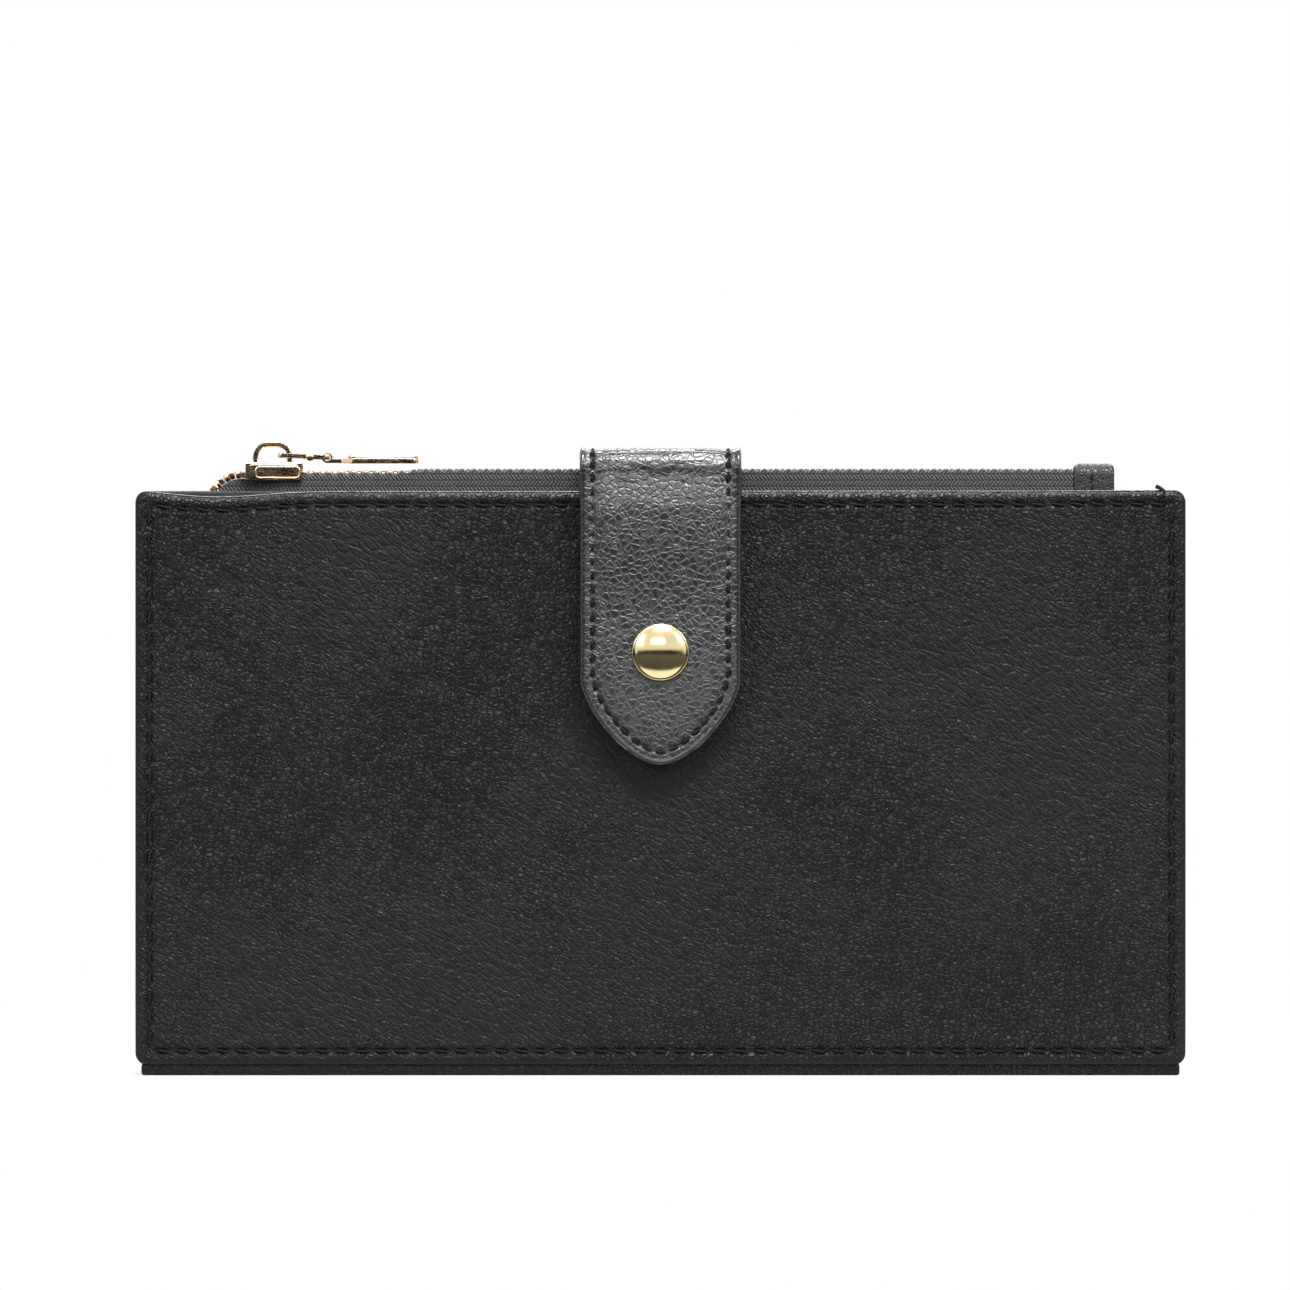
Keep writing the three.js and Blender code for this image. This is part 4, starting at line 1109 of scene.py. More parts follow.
def build_end_tab():
    """The leather tab folded over the zip's right end, with a round fold and soft corners."""
    low, high = box_mm("zip_end_tab")
    fold = (high[1] - low[1]) / 2
    middle_y, fold_z = (low[1] + high[1]) / 2, high[2] - fold
    straight = fold_z - low[2]
    walls = np.linspace(0, straight, 34)
    turn = np.linspace(0, math.pi, 26)[1:-1]
    path = [(low[2] + w, 0.0) for w in walls] + [(fold_z, t) for t in turn]
    path += [(low[2] + w, math.pi) for w in walls[::-1]]
    half = (high[0] - low[0]) / 2
    across = graded(half, (0, 0.04, 0.12, 0.24, 0.42, 0.7), 0.25) / half
    layers = []
    for depth in (0.0, TAB_WALL):
        rows = []
        for z, t in path:
            radius = fold - depth
            y, up = middle_y - radius * math.cos(t), z + radius * math.sin(t)
            rise = max(0.0, z + fold * math.sin(t) - (high[2] - TAB_CORNER))
            width = half - TAB_CORNER + math.sqrt(max(TAB_CORNER**2 - rise**2, 0.0))
            x = across * width
            fall = edge_fall(width - np.abs(x), TAB_ROUNDING)
            puff = TAB_PUFF * (1 - (x / width) ** 2) * (depth == 0.0) * math.cos(t) ** 2
            inward = fall * (1 if depth == 0.0 else -1) - puff
            rows.append(np.stack([
                (low[0] + high[0]) / 2 + x, y + inward * math.cos(t) * np.ones_like(x),
                up - inward * math.sin(t) * np.ones_like(x)], axis=-1))
        layers.append(np.array(rows))
    make("zip_end_tab_leather", np.concatenate([g.reshape(-1, 3) for g in layers]),
         shell_faces(*layers[0].shape[:2]), "tab_cowhide", "rear_half",
         ("zip_end_tab",))
    x = low[0] + TAB_STITCH_X
    lines = [([(x, y, low[2] + 1), (x, y, fold_z + 0.8)], (0, out, 0))
             for y, out in ((low[1] - 0.1, -1), (high[1] + 0.1, 1))]
    sew("zip_end_tab_stitching", lines, TAB_STITCH, "rear_half", "grain_leather")


# ---- Slider and pull ----------------------------------------------------------------------

FLANGE_FRAME_INSET = 0.35
FLANGE_WIRE = 0.17
FLANGE_NARROW = 2.9  # half the slider's width at its narrow end
PLATE_Z = SLIDER_LOW[2] + 3.3  # middle of the top plate
RIM_INSET = 0.42
RIM_CORNER = 0.33
RIM_WIRE = 0.48
PULL_PLATE_START = 8.0  # from the pull's left end to where its plate is plain
PULL_BORDER_START = 5.2
PULL_BORDER_INSET = 0.45
PULL_BORDER_WIRE = 0.4


def rounded_ring(left, right, bottom, top, radius, steps=6):
    """A rounded rectangle's outline as x, z pairs."""
    points = []
    for cx, cz, start in ((right - radius, bottom + radius, -90), (right - radius, top - radius, 0),
                          (left + radius, top - radius, 90), (left + radius, bottom + radius, 180)):
        for angle in np.linspace(start, start + 90, steps):
            points.append((cx + radius * math.cos(math.radians(angle)),
                           cz + radius * math.sin(math.radians(angle))))
    return np.array(points)


def flange_half(x):
    """How far the slider's flange stands from the chain's middle at x."""
    wedge = np.clip((SLIDER_LEFT + SLIDER_WEDGE - x) / SLIDER_WEDGE, 0, 1)
    return FLANGE_NARROW + ROW_PARTING * wedge


def build_slider():
    rounded_copy("zip_slider_body", "zip_slider", 0.26, "bright_zip_plate", "zip_slider")
    bottom = SLIDER_LOW[2] + 0.7
    ring = rounded_ring(SLIDER_LEFT + 1.9, SLIDER_HIGH[0] - 0.45, bottom + FLANGE_FRAME_INSET,
                        bottom + 2.35, 0.7, 7)
    dense = []
    for a, b in zip(ring, np.roll(ring, -1, axis=0)):
        steps = max(1, int(np.hypot(*(b - a)) / 0.4))
        dense += [a + (b - a) * k / steps for k in range(steps)]
    ring = np.array(dense)
    for side, label in ((-1, "front"), (1, "rear")):
        line = np.stack(
            [ring[:, 0], CHAIN_Y + side * (flange_half(ring[:, 0]) + 0.03), ring[:, 1]], axis=-1)
        points, faces = tube(line, FLANGE_WIRE, 10, closed=True)
        make(f"zip_slider_{label}_frame", points, faces, "bright_zip_plate", "zip_slider")


def build_plate_rim():
    """The rolled rim of the slider's top plate."""
    corner = RIM_INSET + RIM_CORNER
    x = np.linspace(SLIDER_LEFT + corner, SLIDER_HIGH[0] - corner, 30)
    side = flange_half(x) - RIM_INSET
    front = np.stack([x, CHAIN_Y - side, np.full_like(x, PLATE_Z)], axis=-1)
    rear = np.stack([x[::-1], CHAIN_Y + side[::-1], np.full_like(x, PLATE_Z)], axis=-1)
    ends = []
    for place, half in ((SLIDER_HIGH[0] - RIM_INSET, side[-1] - RIM_CORNER),
                        (SLIDER_LEFT + RIM_INSET, RIM_CORNER - side[0])):
        y = np.linspace(-half, half, 8)
        ends.append(np.stack([np.full(8, place), CHAIN_Y + y, np.full(8, PLATE_Z)], axis=-1))
    line = np.concatenate([front, ends[0], rear, ends[1]])
    points, faces = tube(line, RIM_WIRE, 12, closed=True)
    make("zip_slider_plate_rim", points, faces, "bright_zip_plate", "zip_slider")


def build_pull():
    rounded_copy("zip_pull_link_wire", "zip_pull_link", 0.22, "bright_zip_plate",
                 "zip_pull_link", segments=4)
    low, high = box_mm("zip_pull_link")
    for side, label in ((-1, "front"), (1, "rear")):
        y = low[1] if side < 0 else high[1]
        x, z = low[0] + 0.62 * (high[0] - low[0]), (low[2] + high[2]) / 2 - 0.1
        profile = [(0.0, y + side * 0.32), (0.35, y + side * 0.3), (0.6, y + side * 0.2),
                   (0.72, y + side * 0.05), (0.72, y - side * 0.1), (0.0, y - side * 0.1)]
        points, faces = lathe(profile, x, z, 32)
        make(f"zip_pull_link_{label}_bead", points, faces, "bright_zip_plate", "zip_pull_link")
    rounded_copy("zip_pull_plate", "zip_pull_tab", 0.16, "bright_zip_plate", "zip_pull_tab")
    low, high = box_mm("zip_pull_tab")
    plate = [v.co.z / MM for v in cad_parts["zip_pull_tab"].data.vertices
             if v.co.x / MM > low[0] + PULL_PLATE_START]
    middle = (low[1] + high[1]) / 2
    half = (high[1] - low[1]) / 2 - PULL_BORDER_INSET
    ring = rounded_ring(
        low[0] + PULL_BORDER_START, high[0] - PULL_BORDER_INSET, -half, half, 0.7, 6)
    for level, label in ((max(plate) + 0.25, "upper"), (min(plate) + 0.32, "lower")):
        line = np.stack([ring[:, 0], middle + ring[:, 1], np.full(len(ring), level)], axis=-1)
        points, faces = tube(line, PULL_BORDER_WIRE, 12, closed=True)
        make(f"zip_pull_{label}_border", points, faces, "bright_zip_plate", "zip_pull_tab")


# ---- Strap --------------------------------------------------------------------------------

STRAP_HALF = FLAP_HIGH[0]
STRAP_OUTER_RADIUS = 3.5
STRAP_BEND_Z = TOP_HIGH[2] - STRAP_OUTER_RADIUS
STRAP_REAR_Y = TAIL_HIGH[1] - STRAP_OUTER_RADIUS
STRAP_FRONT_Y = FLAP_LOW[1] + STRAP_OUTER_RADIUS
STRAP_TIP_Z = FLAP_LOW[2]
STRAP_TIP_LENGTH = 16.5
STRAP_TAIL_Z = TAIL_LOW[2]
STRAP_LEATHER = 1.2
STRAP_LAYERS = 2.1
STRAP_STITCH_INSET = 2.35
STRAP_EDGE = (
    0, 0.05, 0.14, 0.28, 0.46, 0.66, 0.86, 1.02, 1.16, 1.32, 1.6, 1.9, 2.15, 2.4, 2.7, 3.0)
STRAP_STEP = 0.33
STRAP_BEND_DROP = 3.5  # below the strap's bends, where they end
STRAP_BEND_REACH = 3.0  # in from the strap's bends, where they begin on its top

TAIL_LENGTH = STRAP_BEND_Z - STRAP_TAIL_Z
BEND_LENGTH = STRAP_OUTER_RADIUS * math.pi / 2
TOP_LENGTH = STRAP_REAR_Y - STRAP_FRONT_Y
FLAP_LENGTH = STRAP_BEND_Z - STRAP_TIP_Z
STRAP_LENGTH = TAIL_LENGTH + 2 * BEND_LENGTH + TOP_LENGTH + FLAP_LENGTH
STRAP_SPLIT = TAIL_LENGTH + BEND_LENGTH + TOP_LENGTH / 2


def strap_place(s, depth):
    """The place (y, z) and outward direction at s along the strap's outer face, depth below it."""
    s = np.asarray(s, float)
    marks = np.cumsum([TAIL_LENGTH, BEND_LENGTH, TOP_LENGTH, BEND_LENGTH])
    rear = np.clip((s - marks[0]) / BEND_LENGTH, 0, 1) * math.pi / 2
    front = np.clip((s - marks[2]) / BEND_LENGTH, 0, 1) * math.pi / 2
    angle = rear + front
    radius = STRAP_OUTER_RADIUS - depth
    flat = np.clip(s - marks[1], 0, TOP_LENGTH)
    centre_y = STRAP_REAR_Y - flat
    below = np.where(s < marks[0], marks[0] - s, np.where(s > marks[3], s - marks[3], 0))
    out_y, out_z = np.cos(angle), np.sin(angle)
    return centre_y + radius * out_y, STRAP_BEND_Z - below + radius * out_z, out_y, out_z


def tip_outline():
    """One side of the strap's pointed tip, as x and height above the tip."""
    t = np.linspace(0, 1, 400)[:, None]
    length = STRAP_TIP_LENGTH
    p = np.array([[STRAP_HALF, length], [0.985 * STRAP_HALF, 0.575 * length],
                  [0.375 * STRAP_HALF, 0], [0, 0]])
    first, second = (1 - t) ** 3 * p[0], 3 * t * (1 - t) ** 2 * p[1]
    return first + second + 3 * t * t * (1 - t) * p[2] + t**3 * p[3]


TIP = tip_outline()


def strap_half_width(s, inset=0.0):
    rise = STRAP_LENGTH - s
    width = np.interp(rise, TIP[::-1, 1], TIP[::-1, 0])
    corner = 2.0
    start = np.minimum(s, corner)
    rounded = STRAP_HALF - corner + np.sqrt(np.maximum(corner**2 - (corner - start) ** 2, 0))
    return np.minimum(width, rounded) - inset


def strap_inside(x, s):
    """How far a point of the strap lies in from its edge."""
    inside = np.minimum(STRAP_HALF - np.abs(x), s)
    rise = STRAP_LENGTH - s
    near = rise < STRAP_TIP_LENGTH + 4
    px, pr = np.abs(x[near]), rise[near]
    line = TIP[::8]
    far = np.min(np.hypot(px[:, None] - line[None, :, 0], pr[:, None] - line[None, :, 1]), axis=1)
    inside[near] = np.minimum(inside[near], far)
    corner = 2.0
    p, q = np.abs(x) - STRAP_HALF + corner, corner - s
    rounded = corner - np.hypot(np.maximum(p, 0), np.maximum(q, 0))
    return np.maximum(np.where((p > 0) & (q > 0), rounded, inside), 0)


def strap_relief(x, s, inside):
    """The bead along the edge, the row of stitches, the pebbles, and the wrinkles at the bends."""
    pitch = sizes().strap_stitch / MM
    grain = sizes().strap_grain / MM
    bead = 0.1 * bell(inside, 0.5, 0.4) - 0.14 * bell(inside, 1.15, 0.22)
    pull = 0.5 + 0.5 * np.cos(TAU * s / pitch)
    groove = -bell(inside, STRAP_STITCH_INSET, 0.45) * (0.2 + 0.32 * pull)
    field = smooth(inside, 1.15, 1.5) * (1 - 0.8 * bell(inside, STRAP_STITCH_INSET, 0.6))
    u = x / grain + 0.35 * noise(x / 1.7, s / 1.7, 81)
    v = s / grain + 0.35 * noise(x / 1.7, s / 1.7, 82)
    pebbles = 0.08 * (smooth(cracks(u, v, 83), 0.0, 0.24) - 0.6) * (
        0.55 + 0.45 * smooth(noise(x / 6, s / 6, 84), -0.6, 0.5))
    pillow = 0.22 * smooth(inside, STRAP_STITCH_INSET, STRAP_STITCH_INSET + 4)
    front_bend = STRAP_LENGTH - FLAP_LENGTH
    at_bends = bell(s, front_bend - 2.0, 7) + bell(s, TAIL_LENGTH + 2.0, 7)
    pebbles = pebbles * (1 - 0.6 * np.minimum(at_bends, 1))
    wrinkles = -0.14 * at_bends * np.clip(1 - np.abs(layered(x / 9, s / 1.7, 85, 2)) * 2.2, 0, 1)
    curl = 0.3 * bell(inside, 0.2, 1.4) * bell(s, front_bend - 3.0, 4)
    hung = s - front_bend
    bulge = 1.25 * smooth(hung, 0, 8) * (1 - smooth(hung, 9, 27)) * smooth(inside, 0, 5)
    return bead + groove + curl + bulge + field * (pebbles + pillow + wrinkles)


def strap_rows(start, end):
    edge = np.array([0, 0.05, 0.14, 0.28, 0.46, 0.66, 0.86, 1.02, 1.16, 1.32])
    s = np.linspace(start, end, round((end - start) / STRAP_STEP) + 1)
    if start == 0:
        s = np.concatenate([edge, s[s > 1.5]])
    if end > STRAP_LENGTH - 0.01:
        s = np.concatenate([s[s < end - 1.5], (end - edge[::-1])])
    return s


def strap_layer(name, start, end, depth, thickness, finish, inset, replaces, relief=None):
    """One layer of part of the strap. The outer layer carries the relief; the lining is plain."""
    s = strap_rows(start, end)
    if end > STRAP_LENGTH - 0.01:
        s = s[:-1]
        s = np.append(s, end - inset - 0.02)
        s = np.unique(s[s <= end - inset - 0.02])
    if start == 0:
        s = np.unique(np.maximum(s, inset + 0.02))
    columns = graded(STRAP_HALF, STRAP_EDGE, STRAP_STEP) / STRAP_HALF
    width = np.maximum(strap_half_width(s, inset), 0.12)
    x = width[:, None] * columns[None, :]
    along_strap = np.broadcast_to(s[:, None], x.shape).copy()
    inside = strap_inside(x.reshape(-1), along_strap.reshape(-1)).reshape(x.shape) - inset
    inside = np.maximum(inside, 0)
    rounding = 0.45 * thickness
    fall = edge_fall(inside, rounding)
    over, under = depth + fall * 0.6, depth + thickness - fall
    if relief:
        over = depth + fall - relief(x, along_strap, inside) * smooth(inside, 0, 0.3)
    layers = []
    for level in (over, under):
        y, z, _, _ = strap_place(along_strap, level)
        layers.append(np.stack([x, y, z], axis=-1).reshape(-1, 3))
    count = len(layers[0])
    rows, wide = x.shape
    joined = []
    for row, wanted in ((0, start > 0), (rows - 1, end < STRAP_LENGTH - 0.01)):
        if wanted:
            base = row * wide
            for k in range(wide - 1):
                joined += [(base + k, base + k + 1), (count + base + k, count + base + k + 1)]
    rim = 1 - smooth(inside.reshape(-1), 0.75, 1.25)
    stretched = bell(along_strap, STRAP_LENGTH - FLAP_LENGTH - 1.5, 6) + bell(
        along_strap, TAIL_LENGTH + 1.5, 6)
    rim = np.maximum(rim, 0.6 * stretched.reshape(-1))
    pull = pulls(along_strap, sizes().strap_stitch / MM)
    # holes marks the needle holes, which the leather paints near black as shade.
    holes = (bell(inside, STRAP_STITCH_INSET, 0.36) * pull**2).reshape(-1)
    return make(name, np.concatenate(layers), shell_faces(rows, wide), finish, None,
                replaces, np.concatenate([rim, rim]), joined, holes)


def strap_stitch_line(start, end):
    """The row of stitches round the tip, or round the sewn end when it starts at 0, as places
    across and along the strap."""
    inset = STRAP_STITCH_INSET
    if start > 0:
        direction = unit(np.gradient(TIP, axis=0))
        offset = TIP + np.stack([direction[:, 1], -direction[:, 0]], axis=-1) * inset
        offset = offset[offset[:, 0] >= 0]
        s_side = np.linspace(start, STRAP_LENGTH - STRAP_TIP_LENGTH - 0.2, 160)
        s_half = np.concatenate([s_side, STRAP_LENGTH - offset[:, 1]])
        x_half = np.concatenate([np.full_like(s_side, STRAP_HALF - inset), offset[:, 0]])
        return (np.concatenate([x_half, -x_half[::-1][1:]]),
                np.concatenate([s_half, s_half[::-1][1:]]))
    s_side = np.linspace(inset, end, 160)
    side = np.full_like(s_side, STRAP_HALF - inset)
    across = np.linspace(STRAP_HALF - inset, inset - STRAP_HALF, 60)
    return (np.concatenate([side[::-1], across, -side]),
            np.concatenate([s_side[::-1], np.full(60, inset), s_side]))


def strap_stitching(name, start, end):
    pitch = sizes().strap_stitch / MM
    x_line, s_line = strap_stitch_line(start, end)
    y, z, out_y, out_z = strap_place(s_line, 0.06)
    line = np.stack([x_line, y, z], axis=-1)
    total = np.concatenate([[0], np.cumsum(np.linalg.norm(np.diff(line, axis=0), axis=1))])
    count = len(along(line, pitch)[0])
    at = (np.arange(count) + 0.5) * total[-1] / count
    out = np.stack([np.zeros(count), np.interp(at, total, out_y), np.interp(at, total, out_z)],
                   axis=-1)
    points, faces = stitches([(line, out)], pitch, sizes().thread / MM * 1.1, slant=0.1)
    return make(name, points, faces, "sewing_thread", None)


def build_strap():
    lining_depth = STRAP_LEATHER + 0.02
    lining_thickness = STRAP_LAYERS - lining_depth
    halves = (
        ("rear", 0, STRAP_SPLIT, ("tail",), "rear_half", "strap_top",
         (0, TAIL_HIGH[1] * MM, (STRAP_BEND_Z - STRAP_BEND_DROP) * MM),
         (0, (STRAP_REAR_Y - STRAP_BEND_REACH) * MM, TOP_HIGH[2] * MM)),
        ("front", STRAP_SPLIT, STRAP_LENGTH, ("top", "flap"), "strap_top", "strap_flap",
         (0, (STRAP_FRONT_Y + STRAP_BEND_REACH) * MM, TOP_HIGH[2] * MM),
         (0, FLAP_LOW[1] * MM, (STRAP_BEND_Z - STRAP_BEND_DROP) * MM)))
    for half, start, end, parts, a, b, bend_from, bend_to in halves:
        leather = strap_layer(
            f"strap_{half}_leather", start, end, 0, STRAP_LEATHER, "strap_cowhide",
            0, tuple(f"strap_{part}_leather" for part in parts), strap_relief)
        lining = strap_layer(
            f"strap_{half}_lining", start, end, lining_depth, lining_thickness, "slot_calf",
            0.12, tuple(f"strap_{part}_lining" for part in parts))
        for piece in (leather, lining):
            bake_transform(piece)
    for half, start, end, _, a, b, bend_from, bend_to in halves:
        piece = strap_stitching(f"strap_{half}_stitching", start, end)
        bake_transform(piece)


# ---- Snap fastener ------------------------------------------------------------------------


def build_snap():
    z = (CAP_LOW[2] + CAP_HIGH[2]) / 2
    radius = CAP_HIGH[0]
    front, back = CAP_LOW[1], FLAP_LOW[1] - 0.12
    rise = back - front
    rolled = 0.36
    profile = [(0.0, back + 0.3), (radius - rolled, back + 0.3), (radius - rolled, back)]
    profile += [
        (radius - rolled + rolled * math.cos(a), back - rolled + rolled * math.sin(a))
        for a in np.linspace(math.pi / 2, -math.pi / 2 + 0.5, 9)]
    profile += [(radius - 0.36, back - 2 * rolled + 0.06)]
    foot, crown = radius - 0.44, rise - 2 * rolled + 0.05
    widest = 2 * math.atan2(crown, foot)
    profile += [
        (foot * math.sin(a) / math.sin(widest),
         front + crown * (1 - math.cos(a)) / (1 - math.cos(widest)))
        for a in np.linspace(widest, 0.01, 26)]
    profile.append((0.0, front))
    points, faces = lathe(profile, 0.0, z, 112)
    make("snap_cap_dome", points, faces, "polished_gold_plate", "strap_flap",
         ("snap_cap",))
    rounded_copy("snap_socket_ring", "snap_socket", 0.2, "tumbled_gold_plate", "strap_flap")
    rounded_copy("snap_stud_post", "snap_stud", 0.15, "tumbled_gold_plate", "front_half")
    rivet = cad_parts["snap_stud_rivet"]
    rivet.data.materials.clear()
    rivet.data.materials.append(material("tumbled_gold_plate"))


# ---- Stage --------------------------------------------------------------------------------

VIEW_CENTRE = (-2.8, 77.9)  # where the middle of the view lies on the front cover, x and z
VIEW_WIDTH = 233.3  # width of the view at the front cover
CAMERA_DISTANCE = 2600.0
SENSOR = 36.0
CARD_REACH = 1.8  # of a black card to either side, in metres


def softbox(name, place, target, width, height, power):
    lamp = bpy.data.lights.new(name, "AREA")
    lamp.shape = "RECTANGLE"
    lamp.size, lamp.size_y = width, height
    lamp.energy = power
    piece = bpy.data.objects.new(name, lamp)
    piece.location = place
    piece.rotation_euler = (Vector(target) - Vector(place)).to_track_quat("-Z", "Y").to_euler()
    bpy.context.scene.collection.objects.link(piece)
    return piece


def seen_directly(tree):
    """1 on a ray from the camera or from a reflection, 0 on the light that falls on a piece."""
    rays = add(tree, "ShaderNodeLightPath")
    seen = combined(tree, "MAXIMUM", rays.outputs["Is Camera Ray"], rays.outputs["Is Glossy Ray"])
    return combined(tree, "MAXIMUM", seen, rays.outputs["Is Transmission Ray"])


def build_floor():
    mesh = bpy.data.meshes.new("studio_floor")
    reach = 8.0
    mesh.from_pydata(
        [(-reach, -reach, 0), (reach, -reach, 0), (reach, reach, 0), (-reach, reach, 0)], [],
        [(0, 1, 2, 3)])
    floor_material, tree, shader = start_material("matt_paper_floor")
    seen = seen_directly(tree)
    fibres = add(tree, "ShaderNodeTexNoise", {"Scale": 300.0, "Detail": 2.0})
    tone = mixed(tree, fibres.outputs["Fac"], shade(colour("floor"), 0.99), colour("floor"))
    tree.links.new(tone, shader.inputs["Base Color"])
    shader.inputs["Roughness"].default_value = 0.9
    shader.inputs["Specular IOR Level"].default_value = 0.0
    glow = add(tree, "ShaderNodeEmission", {"Color": (1, 1, 1, 1), "Strength": 1.0})
    place = add(tree, "ShaderNodeTexCoord").outputs["Object"]
    far = add(tree, "ShaderNodeVectorMath", {0: place}, operation="LENGTH").outputs["Value"]
    own_light = ranged(tree, far, 0.12, 0.5, 0.7, 1.0)
    share = combined(tree, "MULTIPLY", seen, own_light)
    both = add(tree, "ShaderNodeMixShader", {0: share, 1: shader.outputs[0], 2: glow.outputs[0]})
    out = next(n for n in tree.nodes if n.type == "OUTPUT_MATERIAL")
    tree.links.new(both.outputs[0], out.inputs["Surface"])
    mesh.materials.append(floor_material)
    floor = bpy.data.objects.new("studio_floor", mesh)
    bpy.context.scene.collection.objects.link(floor)


def build_flag(name, corners):
    """A black studio card that keeps the white room out of part of a reflection."""
    mesh = bpy.data.meshes.new(name)
    mesh.from_pydata(corners, [], [(0, 1, 2, 3)])
    card, tree, shader = start_material(f"{name}_black_felt")
    nap = add(tree, "ShaderNodeTexNoise", {"Scale": 40.0})
    tone = mixed(tree, nap.outputs["Fac"], linear("#0a0a0a"), linear("#161616"))
    tree.links.new(tone, shader.inputs["Base Color"])
    shader.inputs["Roughness"].default_value = 1.0
    mesh.materials.append(card)
    flag = bpy.data.objects.new(name, mesh)
    flag.visible_camera = False
    flag.visible_shadow = False
    flag.visible_diffuse = False
    bpy.context.scene.collection.objects.link(flag)


def build_stage():
    scene = bpy.context.scene
    scene.view_settings.view_transform = "Standard"
    build_floor()
    world = bpy.data.worlds.new("white_room")
    world.use_nodes = True
    tree = world.node_tree
    tree.nodes.clear()
    seen = seen_directly(tree)
    strength = combined(tree, "ADD", 0.22, combined(tree, "MULTIPLY", seen, 0.78))
    light = add(tree, "ShaderNodeBackground", {"Color": (1, 1, 1, 1), "Strength": strength})
    add(tree, "ShaderNodeOutputWorld", {"Surface": light.outputs[0]})
    scene.world = world
    softbox("top_softbox", (0.08, -0.35, 0.75), (0, 0, 0.06), 0.5, 0.25, 12)
    softbox("left_softbox", (-0.7, -0.6, 0.5), (0, 0, 0.06), 0.3, 0.4, 3)
    softbox("right_softbox", (0.7, -0.55, 0.6), (0, 0, 0.06), 0.3, 0.4, 5)
    softbox("front_softbox", (-0.12, -1.3, 0.65), (0, 0, 0.06), 0.7, 0.2, 3.2)
    softbox("back_softbox", (0.0, 0.7, 0.8), (0, 0, 0.06), 0.6, 0.3, 7)
    for name, (y0, z0), (y1, z1) in (
            ("front_floor_card", (-1.5, 0.001), (-0.1, 0.001)),
            ("low_front_card", (-1.5, 0.0), (-1.5, 0.21)),
            ("back_floor_card", (0.1, 0.001), (1.5, 0.001)),
            ("low_back_card", (1.5, 0.0), (1.5, 0.21))):
        build_flag(name, [(-CARD_REACH, y0, z0), (CARD_REACH, y0, z0),
                          (CARD_REACH, y1, z1), (-CARD_REACH, y1, z1)])
    camera_data = bpy.data.cameras.new("camera")
    camera_data.sensor_width = SENSOR
    camera_data.lens = SENSOR * CAMERA_DISTANCE / VIEW_WIDTH
    camera_data.clip_start = 0.01
    camera = bpy.data.objects.new("camera", camera_data)
    camera.location = (VIEW_CENTRE[0] * MM, (FRONT_LOW[1] - CAMERA_DISTANCE) * MM,
                       VIEW_CENTRE[1] * MM)
    camera.rotation_euler = (math.pi / 2, 0, 0)
    scene.collection.objects.link(camera)
    scene.camera = camera


# ---- Operators ----------------------------------------------------------------------------


class WALLET_OT_covers(Operator):
    """Build both covers with their turned hems and stitching"""

    bl_idname = "wallet.covers"
    bl_label = "Covers"

    def execute(self, context):
        build_covers()
        build_bar_tack()
        return {"FINISHED"}


class WALLET_OT_spine(Operator):
    """Build the spine's leather, which bends under each cover, and its lining"""

    bl_idname = "wallet.spine"
    bl_label = "Spine"

    def execute(self, context):
        build_spine()
        return {"FINISHED"}


class WALLET_OT_linings(Operator):
    """Build the nylon linings of the front cover and the coin pocket"""

    bl_idname = "wallet.linings"
    bl_label = "Linings"

    def execute(self, context):
        build_linings()
        return {"FINISHED"}


class WALLET_OT_card_slots(Operator):
    """Build the bill pocket's wall and the card slots of both halves"""

    bl_idname = "wallet.card_slots"
    bl_label = "Card slots"

    def execute(self, context):
        build_card_slots()
        return {"FINISHED"}


class WALLET_OT_coin_pocket(Operator):
    """Build the coin pocket's wall, floor and gussets"""

    bl_idname = "wallet.coin_pocket"
    bl_label = "Coin pocket"

    def execute(self, context):
        build_coin_pocket()
        return {"FINISHED"}


class WALLET_OT_zip(Operator):
    """Build the zip's tapes, teeth, stops and leather end tab"""

    bl_idname = "wallet.zip"
    bl_label = "Zip"

    def execute(self, context):
        build_zip_tapes()
        build_zip_teeth()
        build_zip_stops()
        build_end_tab()
        return {"FINISHED"}


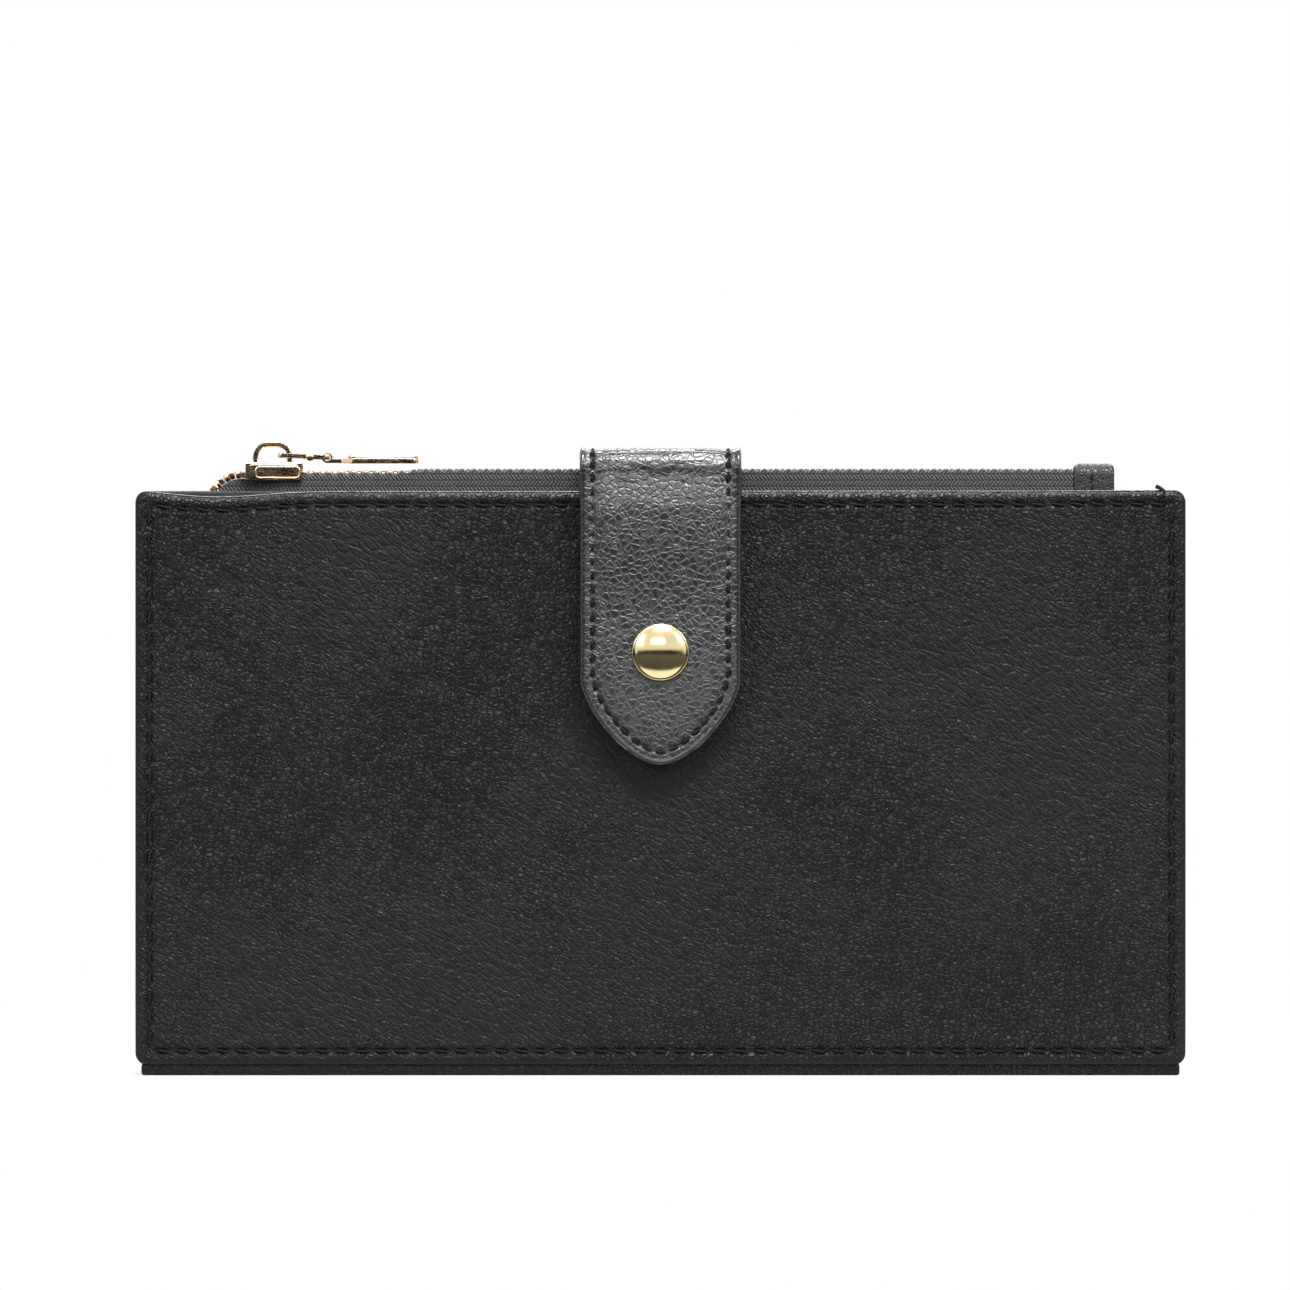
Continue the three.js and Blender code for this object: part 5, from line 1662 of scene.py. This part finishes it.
class WALLET_OT_slider(Operator):
    """Build the zip's slider, link and pull"""

    bl_idname = "wallet.slider"
    bl_label = "Slider and pull"

    def execute(self, context):
        build_slider()
        build_plate_rim()
        build_pull()
        return {"FINISHED"}


class WALLET_OT_strap(Operator):
    """Build the strap's leather, lining and stitching"""

    bl_idname = "wallet.strap"
    bl_label = "Strap"

    def execute(self, context):
        build_strap()
        return {"FINISHED"}


class WALLET_OT_snap(Operator):
    """Build the snap's cap, socket, stud and rivet"""

    bl_idname = "wallet.snap"
    bl_label = "Snap"

    def execute(self, context):
        build_snap()
        return {"FINISHED"}


class WALLET_OT_stage(Operator):
    """Set up the floor, the lights and the camera"""

    bl_idname = "wallet.stage"
    bl_label = "Stage"

    def execute(self, context):
        build_stage()
        return {"FINISHED"}


OPERATORS = (
    WALLET_OT_covers, WALLET_OT_spine, WALLET_OT_linings, WALLET_OT_card_slots,
    WALLET_OT_coin_pocket, WALLET_OT_zip, WALLET_OT_slider, WALLET_OT_strap, WALLET_OT_snap,
    WALLET_OT_stage)


class WALLET_PT_sidebar(Panel):
    """Sizes, colours and pieces of the wallet"""

    bl_label = "Wallet"
    bl_idname = "WALLET_PT_sidebar"
    bl_space_type = "VIEW_3D"
    bl_region_type = "UI"
    bl_category = "Wallet"

    def draw(self, context):
        for group in (context.scene.wallet_sizes, context.scene.wallet_colours):
            column = self.layout.column(align=True)
            for name in group.__annotations__:
                column.prop(group, name)
        for operator in OPERATORS:
            self.layout.operator(operator.bl_idname)


CLASSES = (WalletSizes, WalletColours, *OPERATORS, WALLET_PT_sidebar)


def register():
    for item in CLASSES:
        bpy.utils.register_class(item)
    bpy.types.Scene.wallet_sizes = PointerProperty(type=WalletSizes)
    bpy.types.Scene.wallet_colours = PointerProperty(type=WalletColours)


def unregister():
    del bpy.types.Scene.wallet_colours
    del bpy.types.Scene.wallet_sizes
    for item in reversed(CLASSES):
        bpy.utils.unregister_class(item)


def main():
    register()
    for operator in OPERATORS:
        group, name = operator.bl_idname.split(".")
        getattr(getattr(bpy.ops, group), name)()


if __name__ == "__main__":
    main()
